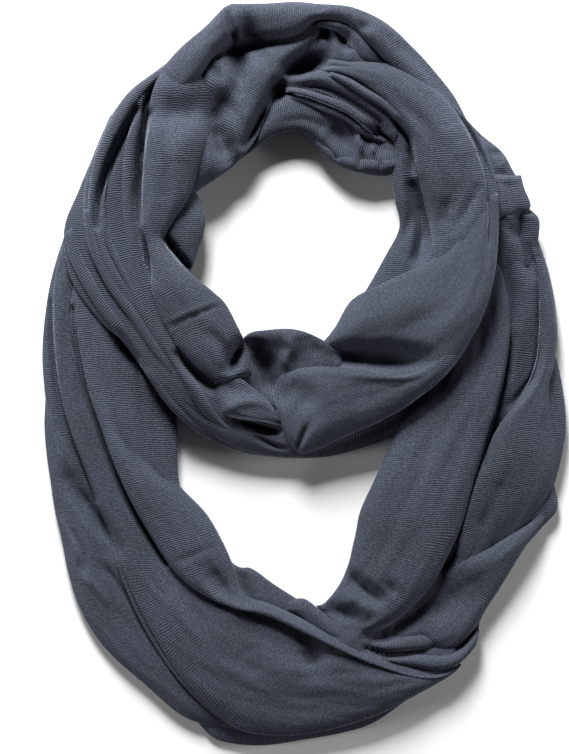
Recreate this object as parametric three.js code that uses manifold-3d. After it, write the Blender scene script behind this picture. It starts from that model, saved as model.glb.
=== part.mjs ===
// An infinity scarf of fine jersey knit, wound into two loops and laid flat on a table.
// Millimetres, +Z up. The table is z = 0, +Y points to the back of the neck, and the origin is
// under the middle of the scarf. Each loop is a pile of long folds. A fold is a flattened tube
// of cloth between two rims: the inner rim faces the middle of its loop, the outer rim faces away.
import * as THREE from 'three';
import { mergeVertices } from 'three/addons/utils/BufferGeometryUtils.js';
import Module from 'manifold-3d';

// Driving dimensions
const restGap = 0.4; // clearance between two pieces that lie on each other
const slitWidth = 0.4; // parts the long outer loop into its stretches
const layerHeight = 5.5; // one hidden layer of gathered cloth in a pile
const layerCrown = 3.3; // rise of a layer over its rims, so that it presses into the next one
const layerUnder = 6.5; // depth of a layer below its rims
const layerInset = 1.8; // each hidden layer lies this much further in than the one below
const stationPitch = 30; // spacing of the sections along a fold
const topPoints = 7; // points over the top of a section, rim to rim
const underPoints = 3; // points under a section, between the rims
const leastCrown = 0.5; // a fold never thins out to nothing over its rims
const roundness = 2.5; // exponent of a section's superellipse: 2 is an ellipse, more is flatter
const pileHeight = 50; // more than the height of the whole heap
const rimThickness = 3; // least height of a fold's underside below its rims
const curveTension = 0.5; // of the smooth curves through a table's rows
const weldDistance = 1e-4; // points closer than this are one point
const clothColour = '#3d4048';
const clothRoughness = 0.9;

// A row for each section: the two rim points in plan, the rims' height and the rise of the crest
const sectionColumns = ['innerX', 'innerY', 'outerX', 'outerY', 'rest', 'crown'];
const narrowColumns = ['x', 'y', 'width', 'rest', 'crown'];
const creaseColumns = ['fromX', 'fromY', 'toX', 'toY', 'width', 'depth'];

function table(columns, rows) {
  return rows.map((row) => Object.fromEntries(columns.map((name, i) => [name, row[i]])));
}

function fold({ under = 9, tilt = 0, sections, creases = [] }) {
  return {
    under,
    tilt,
    sections: table(sectionColumns, sections),
    creases: table(creaseColumns, creases),
  };
}

// A narrow fold has a row for each point of its middle line
function narrowFold({ under, line }) {
  const points = table(narrowColumns, line);
  const sections = points.map(({ x, y, width, rest, crown }, i) => {
    const before = points[Math.max(0, i - 1)];
    const after = points[Math.min(points.length - 1, i + 1)];
    const side = new THREE.Vector2(before.y - after.y, after.x - before.x).setLength(width / 2);
    return [x - side.x, y - side.y, x + side.x, y + side.y, rest, crown];
  });
  return fold({ under, sections });
}

// Outer loop: down the left, along the bottom and up the right
const outerLayers = fold({
  under: layerUnder,
  sections: [
    [-112, 88, -160, 88, 0, 0],
    [-97, 40, -171, 45, 0, 0],
    [-92, -20, -173, -10, 0, 0],
    [-87, -72, -168, -75, 0, 0],
    [-66, -112, -152, -145, 0, 0],
    [-44, -148, -110, -203, 0, 0],
    [-8, -165, -52, -238, 0, 0],
    [14, -168, 12, -240, 0, 0],
    [28, -158, 72, -219, 0, 0],
    [34, -135, 116, -174, 0, 0],
    [40, -105, 146, -120, 0, 0],
    [54, -70, 168, -82, 0, 0],
    [72, -35, 174, -38, 0, 0],
    [88, 5, 171, 5, 0, 0],
    [98, 50, 169, 50, 0, 0],
    [104, 92, 157, 94, 0, 0],
  ],
});

const bottomFlap = fold({
  under: 3,
  sections: [
    [-60, -222, -72, -241, 3, 2],
    [-46, -228, -58, -252.5, 3, 3],
    [-25, -230, -30, -256, 3, 3.5],
    [5, -230, 2, -252, 3, 3.5],
    [38, -222, 42, -243, 3, 3],
    [60, -212, 70, -226, 3, 2],
    [82, -204, 88, -210, 3, 1.5],
  ],
});

const outerLeftLow = fold({
  under: 5,
  sections: [
    [-150, 20, -174, 15, 5, 4],
    [-148, -15, -177, -18, 5, 6],
    [-143, -45, -177.5, -42, 5, 8],
    [-134, -75, -173.5, -76, 5, 9],
    [-118, -112, -167, -113, 5, 10],
    [-100, -145, -157, -152, 5, 10],
    [-84, -168, -139.5, -184, 5, 10],
    [-66, -190, -109, -213, 5, 9],
    [-50, -208, -81, -236, 5, 8],
    [-30, -222, -54, -244, 5, 6],
    [-5, -228, -20, -249, 4, 4],
  ],
  creases: [
    [-156, -78, -131, -118, 6, 7],
    [-166, -80, -134, -126, 6, -3],
  ],
});

const outerLeftStrip = fold({
  under: 7,
  tilt: 3,
  sections: [
    [-148, 116, -156, 116, 9, 3],
    [-159, 94, -165, 93, 9, 3],
    [-164, 60, -174, 60, 9, 4],
    [-166, 25, -178.5, 25, 9, 5],
    [-165, 0, -178.5, 0, 9, 5],
    [-158, -28, -175, -26, 10, 5],
    [-149, -52, -164, -54, 11, 5],
    [-141, -75, -154, -76, 11, 4],
    [-130, -98, -142, -100, 10, 3],
    [-120, -118, -128, -120, 8, 2],
  ],
});

const outerFrontPanel = fold({
  under: 10,
  tilt: -6,
  sections: [
    [-130, 112, -150, 118, 9, 4],
    [-146, 86, -165, 88, 9, 4],
    [-146, 50, -171.5, 52, 10, 5],
    [-142, 20, -171, 20, 11, 7],
    [-138, -12, -166.5, -14, 11, 8],
    [-126, -45, -158, -44, 11, 9],
    [-112, -76, -146, -76, 11, 10],
    [-95, -105, -134, -108, 11, 11],
    [-78, -128, -121, -143, 11, 12],
    [-60, -142, -103, -178, 10, 12],
    [-40, -152, -78, -215, 9, 12],
    [-15, -160, -46, -242, 8, 12],
    [5, -168, -12, -247.5, 8, 12],
    [25, -178, 22, -243, 8, 12],
    [45, -187, 55, -232, 8, 11],
    [66, -195, 83, -217, 8, 9],
    [86, -201, 97, -209.5, 7, 6],
    [98, -200, 105, -204, 6, 2],
  ],
});

const outerInnerLow = fold({
  under: 8,
  sections: [
    [-95, 60, -130, 60, 8, 6],
    [-90, 10, -130, 10, 8, 7],
    [-86.5, -35, -125, -35, 8, 8],
    [-84.5, -75, -112, -78, 8, 8],
    [-72, -98, -95, -108, 7, 6],
  ],
});

const outerInnerPanel = fold({
  under: 10,
  tilt: -8,
  sections: [
    [-115, 85, -152, 85, 12, 4],
    [-110, 45, -158, 45, 13, 6],
    [-108, 15, -155, 15, 13, 9],
    [-106, -20, -146, -20, 13, 11],
    [-103, -55, -134, -55, 13, 12],
    [-84, -77, -119, -85, 13, 12],
    [-66, -96, -105, -108, 13, 12],
    [-54, -116, -93, -128, 13, 12],
    [-47, -133, -78, -143, 14, 10],
    [-43, -146, -60, -154, 16, 7],
    [-37, -152.5, -43, -160, 17, 5],
    [-22, -157, -27, -163.5, 17, 5],
    [0, -167, -5, -173, 17, 5],
    [25, -180, 21, -186, 16, 4],
    [50, -191.5, 46, -197, 14, 4],
    [75, -201, 73, -206, 13, 3],
    [92, -204, 92, -208, 11, 3],
    [101, -200, 103, -204, 8, 2],
  ],
  creases: [[-90, -129, -56, -116, 4, 2.5]],
});

const innerSliver = fold({
  under: 7,
  sections: [
    [-66, -110, -82, -128, 7, 5],
    [-46.5, -131, -66, -150, 7, 6],
    [-35, -133.5, -50, -160, 7, 7],
    [-20, -144.5, -34, -166, 7, 7],
    [-4, -155, -16, -174, 7, 6],
    [14, -166, 4, -184, 7, 5],
    [32, -178, 24, -192, 7, 4],
  ],
});

const twistedStrip = fold({
  under: 6,
  sections: [
    [-12, -156, -14, -163, 11, 2],
    [0, -153.5, -5, -165, 12, 4],
    [10, -160, 4, -171, 13, 4],
    [22, -170.5, 17, -180, 13, 4],
    [36, -179, 32, -186, 12, 3],
    [50, -184, 48, -190, 11, 2],
  ],
});

const rightInnerPanel = fold({
  under: 11,
  tilt: -5,
  sections: [
    [9, -159.5, 20, -172, 8, 4],
    [15, -157, 34, -178, 10, 7],
    [24, -146, 54, -175, 12, 10],
    [30, -133.5, 78, -156, 13, 12],
    [35, -113, 97, -130, 13, 12],
    [39, -93, 111, -97, 13, 13],
    [50, -70, 120, -66, 13, 13],
    [61, -46, 129, -38, 13, 12],
    [78, -12, 137, -10, 13, 10],
    [90, 28, 142, 34, 12, 7],
    [98, 65, 138, 64, 11, 5],
    [102, 92, 128, 90, 10, 4],
  ],
  creases: [
    [31, -137, 60, -156, 5, 6],
    [14, -162, 36, -170, 6, 5],
  ],
});

const rightMiddlePanel = fold({
  under: 10,
  tilt: 1,
  sections: [
    [114, -60, 140, -48, 6, 3],
    [122, -22, 152, -16, 7, 4],
    [130, 10, 164, 8, 7, 4],
    [134, 42, 167, 42, 7, 5],
    [130, 72, 163, 72, 8, 5],
    [122, 96, 152, 102, 8, 5],
    [116, 116, 144, 124, 9, 4],
  ],
  creases: [
    [143, 104, 158, 62, 5, 5],
  ],
});

const rightOuterPanel = fold({
  under: 10,
  tilt: 8,
  sections: [
    [92, -150, 130, -135, 6, 3],
    [104, -122, 158, -104, 8, 6],
    [112, -92, 171, -78, 11, 9],
    [121, -64, 174, -54, 12, 11],
    [132, -38, 171, -28, 13, 11],
    [149, -14, 169, -8, 14, 9],
    [159, 8, 172.5, 8, 14, 7],
    [162, 38, 174.5, 34, 12, 6],
    [161, 66, 170, 67, 10, 5],
    [154, 92, 162, 92, 9, 3],
    [144, 108, 157, 109, 9, 3],
  ],
});

const rightBulge = fold({
  under: 7,
  sections: [
    [140, -82, 170, -84, 7, 5],
    [146, -60, 177.5, -58, 7, 7],
    [150, -30, 181, -32, 7, 8],
    [155, -5, 178, -5, 7, 7],
    [160, 18, 173, 18, 6, 4],
  ],
});

const rightCorner = fold({
  under: 5,
  sections: [
    [130, -126, 150, -122, 5, 2],
    [140, -108, 164, -106, 5, 4],
    [150, -90, 175, -92, 5, 5],
    [152, -70, 172, -72, 5, 3],
  ],
});

const lowerRightPanel = fold({
  under: 9,
  tilt: 6,
  sections: [
    [36, -178, 40, -185, 9, 2],
    [43, -176, 51, -188, 9, 4],
    [52, -171, 68, -189, 9, 6],
    [62, -165, 90, -190, 9, 8],
    [72, -157, 108, -187, 9, 9],
    [82, -149, 119, -175, 9, 9],
    [93, -140, 126, -161, 9, 9],
    [106, -130, 135, -147, 9, 9],
    [124, -120, 146, -129, 10, 8],
    [143, -109, 155, -115, 10, 6],
    [157, -100, 164, -104, 8, 4],
    [167, -88, 171, -93, 6, 1.5],
  ],
});

const lowerRightRoll = narrowFold({
  under: 8,
  line: [
    [37, -181, 3, 13, 2],
    [46, -185, 6, 14, 4],
    [57, -186.5, 8, 15, 5],
    [70, -186, 8, 15, 5],
    [82, -184.5, 7, 14, 4],
    [93, -182, 4, 12, 2],
  ],
});

const lowerRightTuck = narrowFold({
  under: 8,
  line: [
    [50, -193, 4, 11, 3],
    [62, -195, 7, 12, 4],
    [76, -196, 9, 12, 5],
    [90, -197.5, 10, 12, 5],
    [102, -196, 9, 12, 5],
    [110.5, -190.5, 7, 11, 4],
    [116.5, -183, 6, 10, 4],
    [119.5, -175, 4, 9, 3],
  ],
});

const lowerRightUnder = fold({
  under: 7,
  sections: [
    [50, -188, 50, -196, 7, 3],
    [70, -186, 70, -203, 7, 5],
    [88, -186, 92, -206, 7, 5],
    [101, -184, 108, -199, 6, 5],
    [109, -178, 117, -188, 6, 4],
    [114, -170, 121, -175, 5, 3],
    [116, -164, 121.5, -167, 5, 1.5],
  ],
});

// Seam at the right, where the two ends are sewn and the cloth is bunched
const seamLower = fold({
  under: 9,
  tilt: 2,
  sections: [
    [124, 84, 160, 86, 12, 4],
    [128, 98, 161.5, 97, 14, 5],
    [130, 108, 161, 106.5, 15, 4],
    [130, 116, 155, 113, 14, 2],
  ],
});

const seamMiddle = fold({
  under: 9,
  tilt: 2,
  sections: [
    [126, 104, 151, 108, 18, 3],
    [127, 114, 155, 115, 19, 4],
    [126, 126, 151, 126, 19, 4],
    [125, 136, 148.5, 135.5, 18, 3],
  ],
});

const seamUpper = fold({
  under: 9,
  tilt: 2,
  sections: [
    [120, 126, 149, 129, 13, 3],
    [117, 140, 143, 140, 14, 5],
    [113, 152, 136, 152, 14, 5],
    [107, 163, 122, 164, 13, 4],
    [98, 176, 110, 177, 12, 2],
  ],
});

// Neck loop, hidden layers: up the right, over the top and down the left
const neckLayers = fold({
  under: layerUnder,
  sections: [
    [71, 108, 130, 108, 0, 0],
    [67, 140, 125, 150, 0, 0],
    [56, 168, 108, 181, 0, 0],
    [30, 184, 79, 212, 0, 0],
    [2, 190, 35, 243, 0, 0],
    [-22, 188, -18, 250, 0, 0],
    [-45, 170, -57, 242, 0, 0],
    [-64, 150, -99, 203, 0, 0],
    [-79, 125, -138, 161, 0, 0],
    [-84, 100, -153, 124, 0, 0],
    [-86, 78, -148, 96, 0, 0],
  ],
});

// Neck loop, back band seen through the opening
const backBand = fold({
  under: 11,
  tilt: 2,
  sections: [
    [66, 150, 74, 172, 12, 4],
    [61, 137, 62, 166, 11, 6],
    [45, 136.5, 50, 172, 11, 7],
    [26, 143.5, 34, 182, 12, 8],
    [12, 158, 18, 190, 13, 8],
    [-4, 166, 2, 196, 13, 8],
    [-20, 163, -22, 196, 13, 7],
    [-36, 151.5, -46, 184, 12, 5],
    [-50, 141, -66, 168, 11, 4],
  ],
  creases: [
    [22, 162, 54, 157, 8, 8],
  ],
});

const backPanel = fold({
  under: 10,
  tilt: -2,
  sections: [
    [64, 157, 73, 172, 20, 3],
    [46, 171, 54, 184, 20, 6],
    [28, 183, 36, 197, 21, 6],
    [8, 191, 16, 206, 21, 6],
    [-12, 194, -10, 206, 20, 5],
    [-30, 188, -34, 206, 18, 4],
  ],
});

const backRoll = narrowFold({
  under: 9,
  line: [
    [0, 168, 3, 9, 3],
    [8, 162, 6, 11, 4],
    [17, 153.5, 9, 12, 5],
    [30, 145.5, 11, 13, 6],
    [46, 142.5, 11, 13, 6],
    [60, 143.5, 9, 13, 5],
    [72, 147, 7, 13, 4],
  ],
});

const archFold = narrowFold({
  under: 9,
  line: [
    [8, 236.5, 3, 25, 2],
    [14, 237, 4, 26, 3],
    [22, 236, 6, 26, 4],
    [30, 232, 9, 25, 5],
    [37, 225, 13, 24, 5],
    [45, 216.5, 12, 22, 5],
    [53, 210.5, 5, 21, 2],
  ],
});

const neckRightInner = fold({
  under: 12,
  tilt: -5,
  sections: [
    [36, 47, 66, 42, 11, 4],
    [43, 57, 88, 50, 12, 6],
    [57, 82, 98, 80, 13, 7],
    [66, 101, 100, 103, 13, 7],
    [63, 119, 96, 124, 14, 7],
    [61, 138, 90, 144, 15, 7],
    [62, 156, 84, 162, 18, 6],
    [55, 174, 74, 182, 21, 6],
    [38, 190, 58, 200, 23, 6],
    [20, 203, 36, 210, 23, 5],
    [8, 207, 18, 214, 21, 3],
  ],
});

// Pleats down the left of the neck loop, crossing to the front
const pleatBase = fold({
  under: 12,
  sections: [
    [-100, 170, -132, 178, 8, 5],
    [-98, 130, -153, 128, 10, 8],
    [-96, 95, -163, 97, 15, 8],
    [-92, 62, -158, 64, 20, 7],
    [-85, 38, -139, 37, 22, 7],
    [-76, 16, -119, 19, 23, 7],
    [-64, -4, -102, -5, 21, 8],
    [-48, -18, -84, -28, 14, 10],
    [-28, -28, -58, -46, 10, 10],
    [-4, -32, -26, -56, 8, 9],
    [20, -30, 12, -57.5, 8, 8],
    [42, -22, 44, -49.5, 9, 6],
    [58, -12, 63, -42, 11, 5],
    [72, -2, 80, -32, 12, 4],
  ],
});

const pleatFirst = fold({
  under: 10,
  tilt: 3,
  sections: [
    [-84, 208, -91, 212.5, 22, 3],
    [-104, 192, -113, 196, 20, 4],
    [-120, 175, -129, 179, 18, 5],
    [-132, 152, -143, 150, 18, 6],
    [-136, 125, -149.5, 123, 18, 7],
    [-134, 100, -149.5, 102, 20, 7],
    [-126, 78, -145, 80, 23, 7],
    [-114, 54, -132, 58, 25, 6],
    [-100, 32, -116, 34, 26, 5],
    [-86, 8, -103, 10, 24, 5],
    [-70, -14, -88, -16, 20, 6],
    [-50, -32, -64, -38, 13, 6],
    [-24, -42, -36, -49, 9, 5],
    [4, -46, -6, -54, 8, 4],
  ],
});

const pleatSecond = fold({
  under: 10,
  tilt: 2,
  sections: [
    [-92, 206, -98, 207, 23, 3],
    [-108, 189, -118, 191, 24, 4],
    [-119, 170, -131, 172, 24, 5],
    [-130, 147, -141, 148, 24, 6],
    [-137, 120, -145.5, 120, 24, 6],
    [-136, 98, -143.5, 96, 25, 5],
    [-128, 76, -138, 76, 27, 5],
    [-116, 54, -127, 54, 28, 4],
    [-102, 34, -112, 32, 28, 3],
  ],
});

const pleatPlateau = fold({
  under: 10,
  sections: [
    [-105, 195, -112, 188, 19, 3],
    [-113, 165, -125, 164, 20, 3],
    [-116, 140, -139, 136, 20, 4],
    [-116, 112, -143, 106, 20, 6],
    [-111, 84, -137, 76, 22, 7],
    [-100, 56, -121, 46, 25, 7],
    [-87, 30, -103, 20, 26, 6],
    [-72, 4, -85, -8, 23, 6],
    [-56, -18, -67, -28, 17, 6],
    [-30, -36, -40, -44, 11, 5],
    [-6, -44, -14, -51, 8, 4],
  ],
});

const pleatRidge = fold({
  under: 10,
  sections: [
    [-99, 202, -103, 202, 23, 3],
    [-107, 186, -113, 186, 24, 4],
    [-110, 165, -119, 164, 24, 5],
    [-112.5, 140, -122, 138, 24, 5],
    [-112.5, 112, -122, 110, 24, 5],
    [-108, 84, -118, 82, 25, 5],
    [-101, 56, -111, 54, 27, 5],
    [-91, 28, -101, 28, 28, 5],
    [-75, 2, -86, 2, 27, 5],
    [-62, -20, -72, -22, 22, 5],
    [-46, -37, -54, -40, 15, 4],
    [-18, -48, -24, -51, 10, 3],
  ],
});

const ropeFirst = narrowFold({
  under: 9,
  line: [
    [-160, 98, 6, 20, 4],
    [-153, 76, 8, 23, 5],
    [-138, 50, 9, 25, 5],
    [-120, 26, 9, 25, 5],
    [-103, 2, 9, 23, 5],
    [-87, -21, 9, 18, 5],
    [-66, -39, 8, 12, 5],
    [-40, -50, 7, 8, 4],
    [-10, -55.5, 5, 6, 3],
  ],
});

const ropeSecond = narrowFold({
  under: 9,
  line: [
    [-146, 112, 6, 24, 4],
    [-142, 88, 7, 27, 4],
    [-130, 62, 8, 28, 4],
    [-113, 38, 8, 28, 5],
    [-97, 14, 8, 27, 5],
    [-81, -8, 7, 22, 5],
    [-64, -26, 7, 16, 4],
    [-42, -41, 6, 11, 4],
    [-16, -51, 5, 8, 3],
  ],
});

// Neck loop, top band and the folds that come down from it
const topInner = fold({
  under: 13,
  tilt: -3,
  sections: [
    [15, 236, 12, 246, 21, 3],
    [10, 228, 0, 246, 22, 5],
    [2, 219, -14, 243, 22, 7],
    [-7, 208, -28, 237, 22, 8],
    [-17, 194, -50, 225, 22, 8],
    [-25, 175, -72, 204, 22, 8],
    [-36, 154, -84, 176, 22, 8],
    [-52, 138, -90, 148, 21, 8],
    [-72, 124.5, -94, 128, 18, 6],
    [-84, 112, -98, 112, 15, 3],
  ],
  creases: [
    [-46, 218, -44, 190, 11, 7],
    [-60, 172, -50, 146, 12, 7],
  ],
});

const topHollow = fold({
  under: 10,
  sections: [
    [56, 203, 64, 216, 19, 3],
    [38, 207, 50, 224, 20, 5],
    [20, 209, 36, 236, 20, 6],
    [6, 218, 14, 240, 19, 4],
  ],
  creases: [[18, 232, 22, 214, 4, 4]],
});

const topOuter = fold({
  under: 14,
  tilt: 3,
  sections: [
    [124, 96, 133.5, 98, 19, 3],
    [120, 122, 132.5, 120, 20, 4],
    [112, 146, 125, 148, 20, 5],
    [98, 168, 113, 170, 20, 6],
    [84, 184, 102, 190, 21, 7],
    [70, 198, 86, 210, 22, 8],
    [55, 213, 74, 222, 24, 8],
    [44, 224, 56, 238, 25, 9],
    [28, 237, 34, 248, 26, 8],
    [10, 239, 12, 250.5, 27, 9],
    [-4, 230, -6, 252, 28, 9],
    [-26, 226, -26, 251, 28, 10],
    [-40, 225, -43, 250.5, 28, 10],
    [-47, 224, -50.5, 250, 28, 10],
    [-52, 221, -56, 245.5, 28, 10],
    [-60, 217, -67, 234, 28, 10],
    [-72, 210, -82, 221, 28, 9],
    [-84, 200, -93, 210, 28, 6],
    [-96, 190, -101, 201, 27, 3],
  ],
  creases: [
    [-44, 248, -24, 232, 9, 6],
  ],
});

// Neck loop, the cover down the left: wide, pinched at the opening, then wide again
const leftLower = fold({
  under: 15,
  sections: [
    [-78, 134, -104, 138, 15, 4],
    [-67.5, 112, -102, 116, 17, 8],
    [-67.5, 98, -102, 98, 18, 9],
    [-72, 82, -100, 80, 17, 8],
    [-78, 66, -96, 62, 17, 4],
  ],
});

const leftCover = fold({
  under: 13,
  tilt: -4,
  sections: [
    [-56, 216, -80, 218, 24, 4],
    [-60, 196, -99, 198, 27, 7],
    [-60, 175, -105, 176, 28, 9],
    [-65, 157, -107.5, 154, 29, 10],
    [-71, 138, -109, 134, 29, 10],
    [-77, 120, -109.5, 114, 29, 9],
    [-88, 103, -109, 99, 29, 7],
    [-93, 91, -105, 88, 29, 5],
    [-84, 77, -103, 73, 29, 7],
    [-74, 66, -102, 57, 29, 9],
    [-60, 55, -98, 41, 28, 9],
    [-51.5, 47, -92, 28, 27, 9],
    [-44, 32, -83, 13, 26, 9],
    [-37.5, 16, -75, 3, 24, 8],
    [-34, 0, -62, -8, 21, 5],
  ],
  creases: [
    [-98, 186, -66, 190, 13, 7],
    [-47, 15, -40, 8, 5, 7],
    [-90, 31, -56, 47, 3, 2],
  ],
});

const cornerFlap = fold({
  under: 16,
  sections: [
    [-50, 4, -60, -2, 21, 2],
    [-38, -6, -61, -17, 21, 4],
    [-27, -15, -58, -27, 20, 6],
    [-19, -24, -46, -31, 19, 6],
    [-14.5, -31, -28, -32.5, 17, 5],
    [-11.5, -37, -16, -36, 13, 2],
  ],
});

// Neck loop, the front: an inner fold seen through the opening, then the draped cover
const frontInner = fold({
  under: 16,
  sections: [
    [-48, 14, -46, -14, 14, 4],
    [-38, 27, -34, -16, 15, 6],
    [-24, 30, -20, -24, 15, 7],
    [-8, 30.5, -4, -26, 15, 8],
    [8, 26, 12, -16, 15, 8],
    [26, 16, 30, -8, 15, 6],
  ],
  creases: [
    [-25, 8, -12, -34, 8, 8],
  ],
});

const frontUpper = fold({
  under: 22,
  tilt: 3,
  sections: [
    [-4, 7, 0, -12, 19, 3],
    [8, 16, 14, -14, 20, 6],
    [21, 31, 34, -14, 21, 9],
    [33, 50.5, 58, -14, 23, 11],
    [52, 61, 84, -12, 26, 12],
    [76, 72, 104, 10, 28, 12],
    [92, 81, 119, 34, 29, 11],
    [104, 97, 128, 62, 29, 9],
    [112, 111, 131.5, 92, 28, 7],
    [121, 126, 131, 122, 26, 4],
  ],
  creases: [
    [14, 9, 84, 8, 8, 13],
  ],
});

const frontLower = fold({
  under: 21,
  tilt: 2,
  sections: [
    [-10, -48, -7, -53, 12, 3],
    [-15, -34, 0, -54.5, 15, 7],
    [-20, -14, 10, -51.5, 16, 9],
    [-14, 2, 22, -46, 18, 11],
    [2, 6, 36, -40, 19, 12],
    [24, 5, 52, -33, 21, 12],
    [46, 3, 68, -24, 23, 11],
    [66, 1, 84, -12, 26, 10],
    [82, 6, 98, 1, 28, 9],
    [92, 20, 111, 19, 29, 8],
    [104, 38, 122, 42, 29, 6],
    [112, 58, 128, 62, 28, 4],
  ],
  creases: [[-3, -34, -5, -52, 5, 4]],
});

const rightCover = fold({
  under: 16,
  tilt: 3,
  sections: [
    [84, 50, 118, 44, 22, 5],
    [88, 78, 130, 66, 25, 8],
    [86, 103, 132, 96, 25, 10],
    [81, 124, 131, 122, 25, 11],
    [76, 144, 122, 148, 25, 11],
    [71, 163, 108, 172, 25, 11],
    [60, 179, 92, 191, 25, 10],
    [44, 193, 70, 206.5, 25, 8],
    [24, 202.5, 44, 212, 24, 5],
    [10, 206, 22, 212, 22, 3],
  ],
  creases: [
    [109, 123, 92, 95, 8, 6],
  ],
});

// Rings of points across a fold. With grow, every face lies that much further out.
function sampleSections({ sections, tilt }) {
  const rim = (side, sign) =>
    new THREE.CatmullRomCurve3(
      sections.map((s) => new THREE.Vector3(s[side + 'X'], s[side + 'Y'], s.rest + (sign * tilt) / 2)),
      false,
      'catmullrom',
      curveTension,
    );
  const inner = rim('inner', 1);
  const outer = rim('outer', -1);
  const crown = new THREE.CatmullRomCurve3(
    sections.map((s, i) => new THREE.Vector3(i, s.crown, 0)),
    false,
    'catmullrom',
    curveTension,
  );
  const spans = sections.length - 1;
  const stations = [];
  for (let i = 0; i < spans; i++) {
    const length = middle(sections[i]).distanceTo(middle(sections[i + 1]));
    const steps = Math.max(1, Math.round(length / stationPitch));
    for (let j = 0; j < steps; j++) stations.push((i + j / steps) / spans);
  }
  stations.push(1);
  return stations.map((t) => ({
    inner: inner.getPoint(t),
    outer: outer.getPoint(t),
    crown: Math.max(leastCrown, crown.getPoint(t).y),
  }));
}

function middle({ innerX, innerY, outerX, outerY }) {
  return new THREE.Vector2((innerX + outerX) / 2, (innerY + outerY) / 2);
}

// Soft troughs pressed into the top of a fold; a negative depth raises a ridge
function creaseDepth(point, creases) {
  const here = new THREE.Vector3(point.x, point.y, 0);
  const nearest = new THREE.Vector3();
  return creases.reduce((depth, c) => {
    const line = new THREE.Line3(new THREE.Vector3(c.fromX, c.fromY), new THREE.Vector3(c.toX, c.toY));
    const away = line.closestPointToPoint(here, true, nearest).distanceTo(here) / c.width;
    return depth + c.depth * Math.exp(-away * away);
  }, 0);
}

function superellipse(angle) {
  const power = (value) => Math.sign(value) * Math.abs(value) ** (2 / roundness);
  return { across: power(Math.cos(angle)), up: power(Math.sin(angle)) };
}

function foldRings({ under, tilt, sections, creases }, grow) {
  const floor = grow > 0 ? -1 : 0;
  const angles = [];
  for (let i = 0; i < topPoints; i++) angles.push((Math.PI * i) / (topPoints - 1));
  for (let i = 1; i <= underPoints; i++) angles.push(Math.PI * (1 + i / (underPoints + 1)));
  return sampleSections({ sections, tilt }).map(({ inner, outer, crown }) => {
    const centre = inner.clone().add(outer).multiplyScalar(0.5);
    const half = outer.clone().sub(inner).multiplyScalar(0.5);
    const reach = half.length();
    half.multiplyScalar((reach + grow) / reach);
    return angles.map((angle) => {
      const { across, up } = superellipse(angle);
      const point = centre.clone().addScaledVector(half, across);
      const rise = up > 0 ? up * (crown + grow) : up * (Math.max(under, rimThickness) + grow);
      const pressed = up > 0 ? up * creaseDepth(point, creases) : 0;
      point.z = Math.max(floor, point.z + rise - pressed);
      return point;
    });
  });
}

const wasm = await Module();
wasm.setup();

function solidFromGeometry(geometry) {
  const bare = geometry.clone();
  bare.deleteAttribute('normal');
  bare.deleteAttribute('uv');
  const merged = mergeVertices(bare, weldDistance);
  const mesh = new wasm.Mesh({
    numProp: 3,
    vertProperties: merged.attributes.position.array,
    triVerts: new Uint32Array(merged.index.array),
  });
  return new wasm.Manifold(mesh);
}

// Skin over the rings, closed with a fan at each end
function solidFromRings(rings) {
  const around = rings[0].length;
  const points = rings.flat();
  const triangles = [];
  for (let i = 0; i < rings.length - 1; i++) {
    for (let j = 0; j < around; j++) {
      const a = i * around + j;
      const b = i * around + ((j + 1) % around);
      triangles.push(a, a + around, b, b, a + around, b + around);
    }
  }
  for (const [ring, turn] of [[0, 1], [rings.length - 1, -1]]) {
    const hub = points.length;
    points.push(rings[ring].reduce((sum, p) => sum.add(p), new THREE.Vector3()).divideScalar(around));
    for (let j = 0; j < around; j++) {
      const edge = [ring * around + j, ring * around + ((j + 1) % around)];
      triangles.push(hub, ...(turn > 0 ? edge : edge.reverse()));
    }
  }
  const geometry = new THREE.BufferGeometry().setFromPoints(points).setIndex(triangles);
  const solid = solidFromGeometry(geometry);
  if (solid.volume() > 0) return solid;
  geometry.setIndex(triangles.reverse());
  return solidFromGeometry(geometry);
}

// Hidden layers of a pile: the same outline again and again, each one a little further in
function layeredRings(pile, count, grow) {
  return Array.from({ length: count }, (_, level) => {
    const sections = pile.sections.map((s) => {
      const across = new THREE.Vector2(s.outerX - s.innerX, s.outerY - s.innerY);
      across.setLength(level * layerInset);
      return {
        innerX: s.innerX + across.x,
        innerY: s.innerY + across.y,
        outerX: s.outerX - across.x,
        outerY: s.outerY - across.y,
        rest: (level + 0.5) * layerHeight,
        crown: layerCrown,
      };
    });
    return foldRings({ ...pile, under: layerUnder, sections }, grow);
  });
}

// The outer loop is parted where its stretches meet
const slits = table(['fromX', 'fromY', 'toX', 'toY'], [
  [-20, -110, -170, -225],
  [14, -130, 62, -270],
]);
const stretches = ['outer_left', 'outer_bottom', 'outer_right'];

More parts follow.
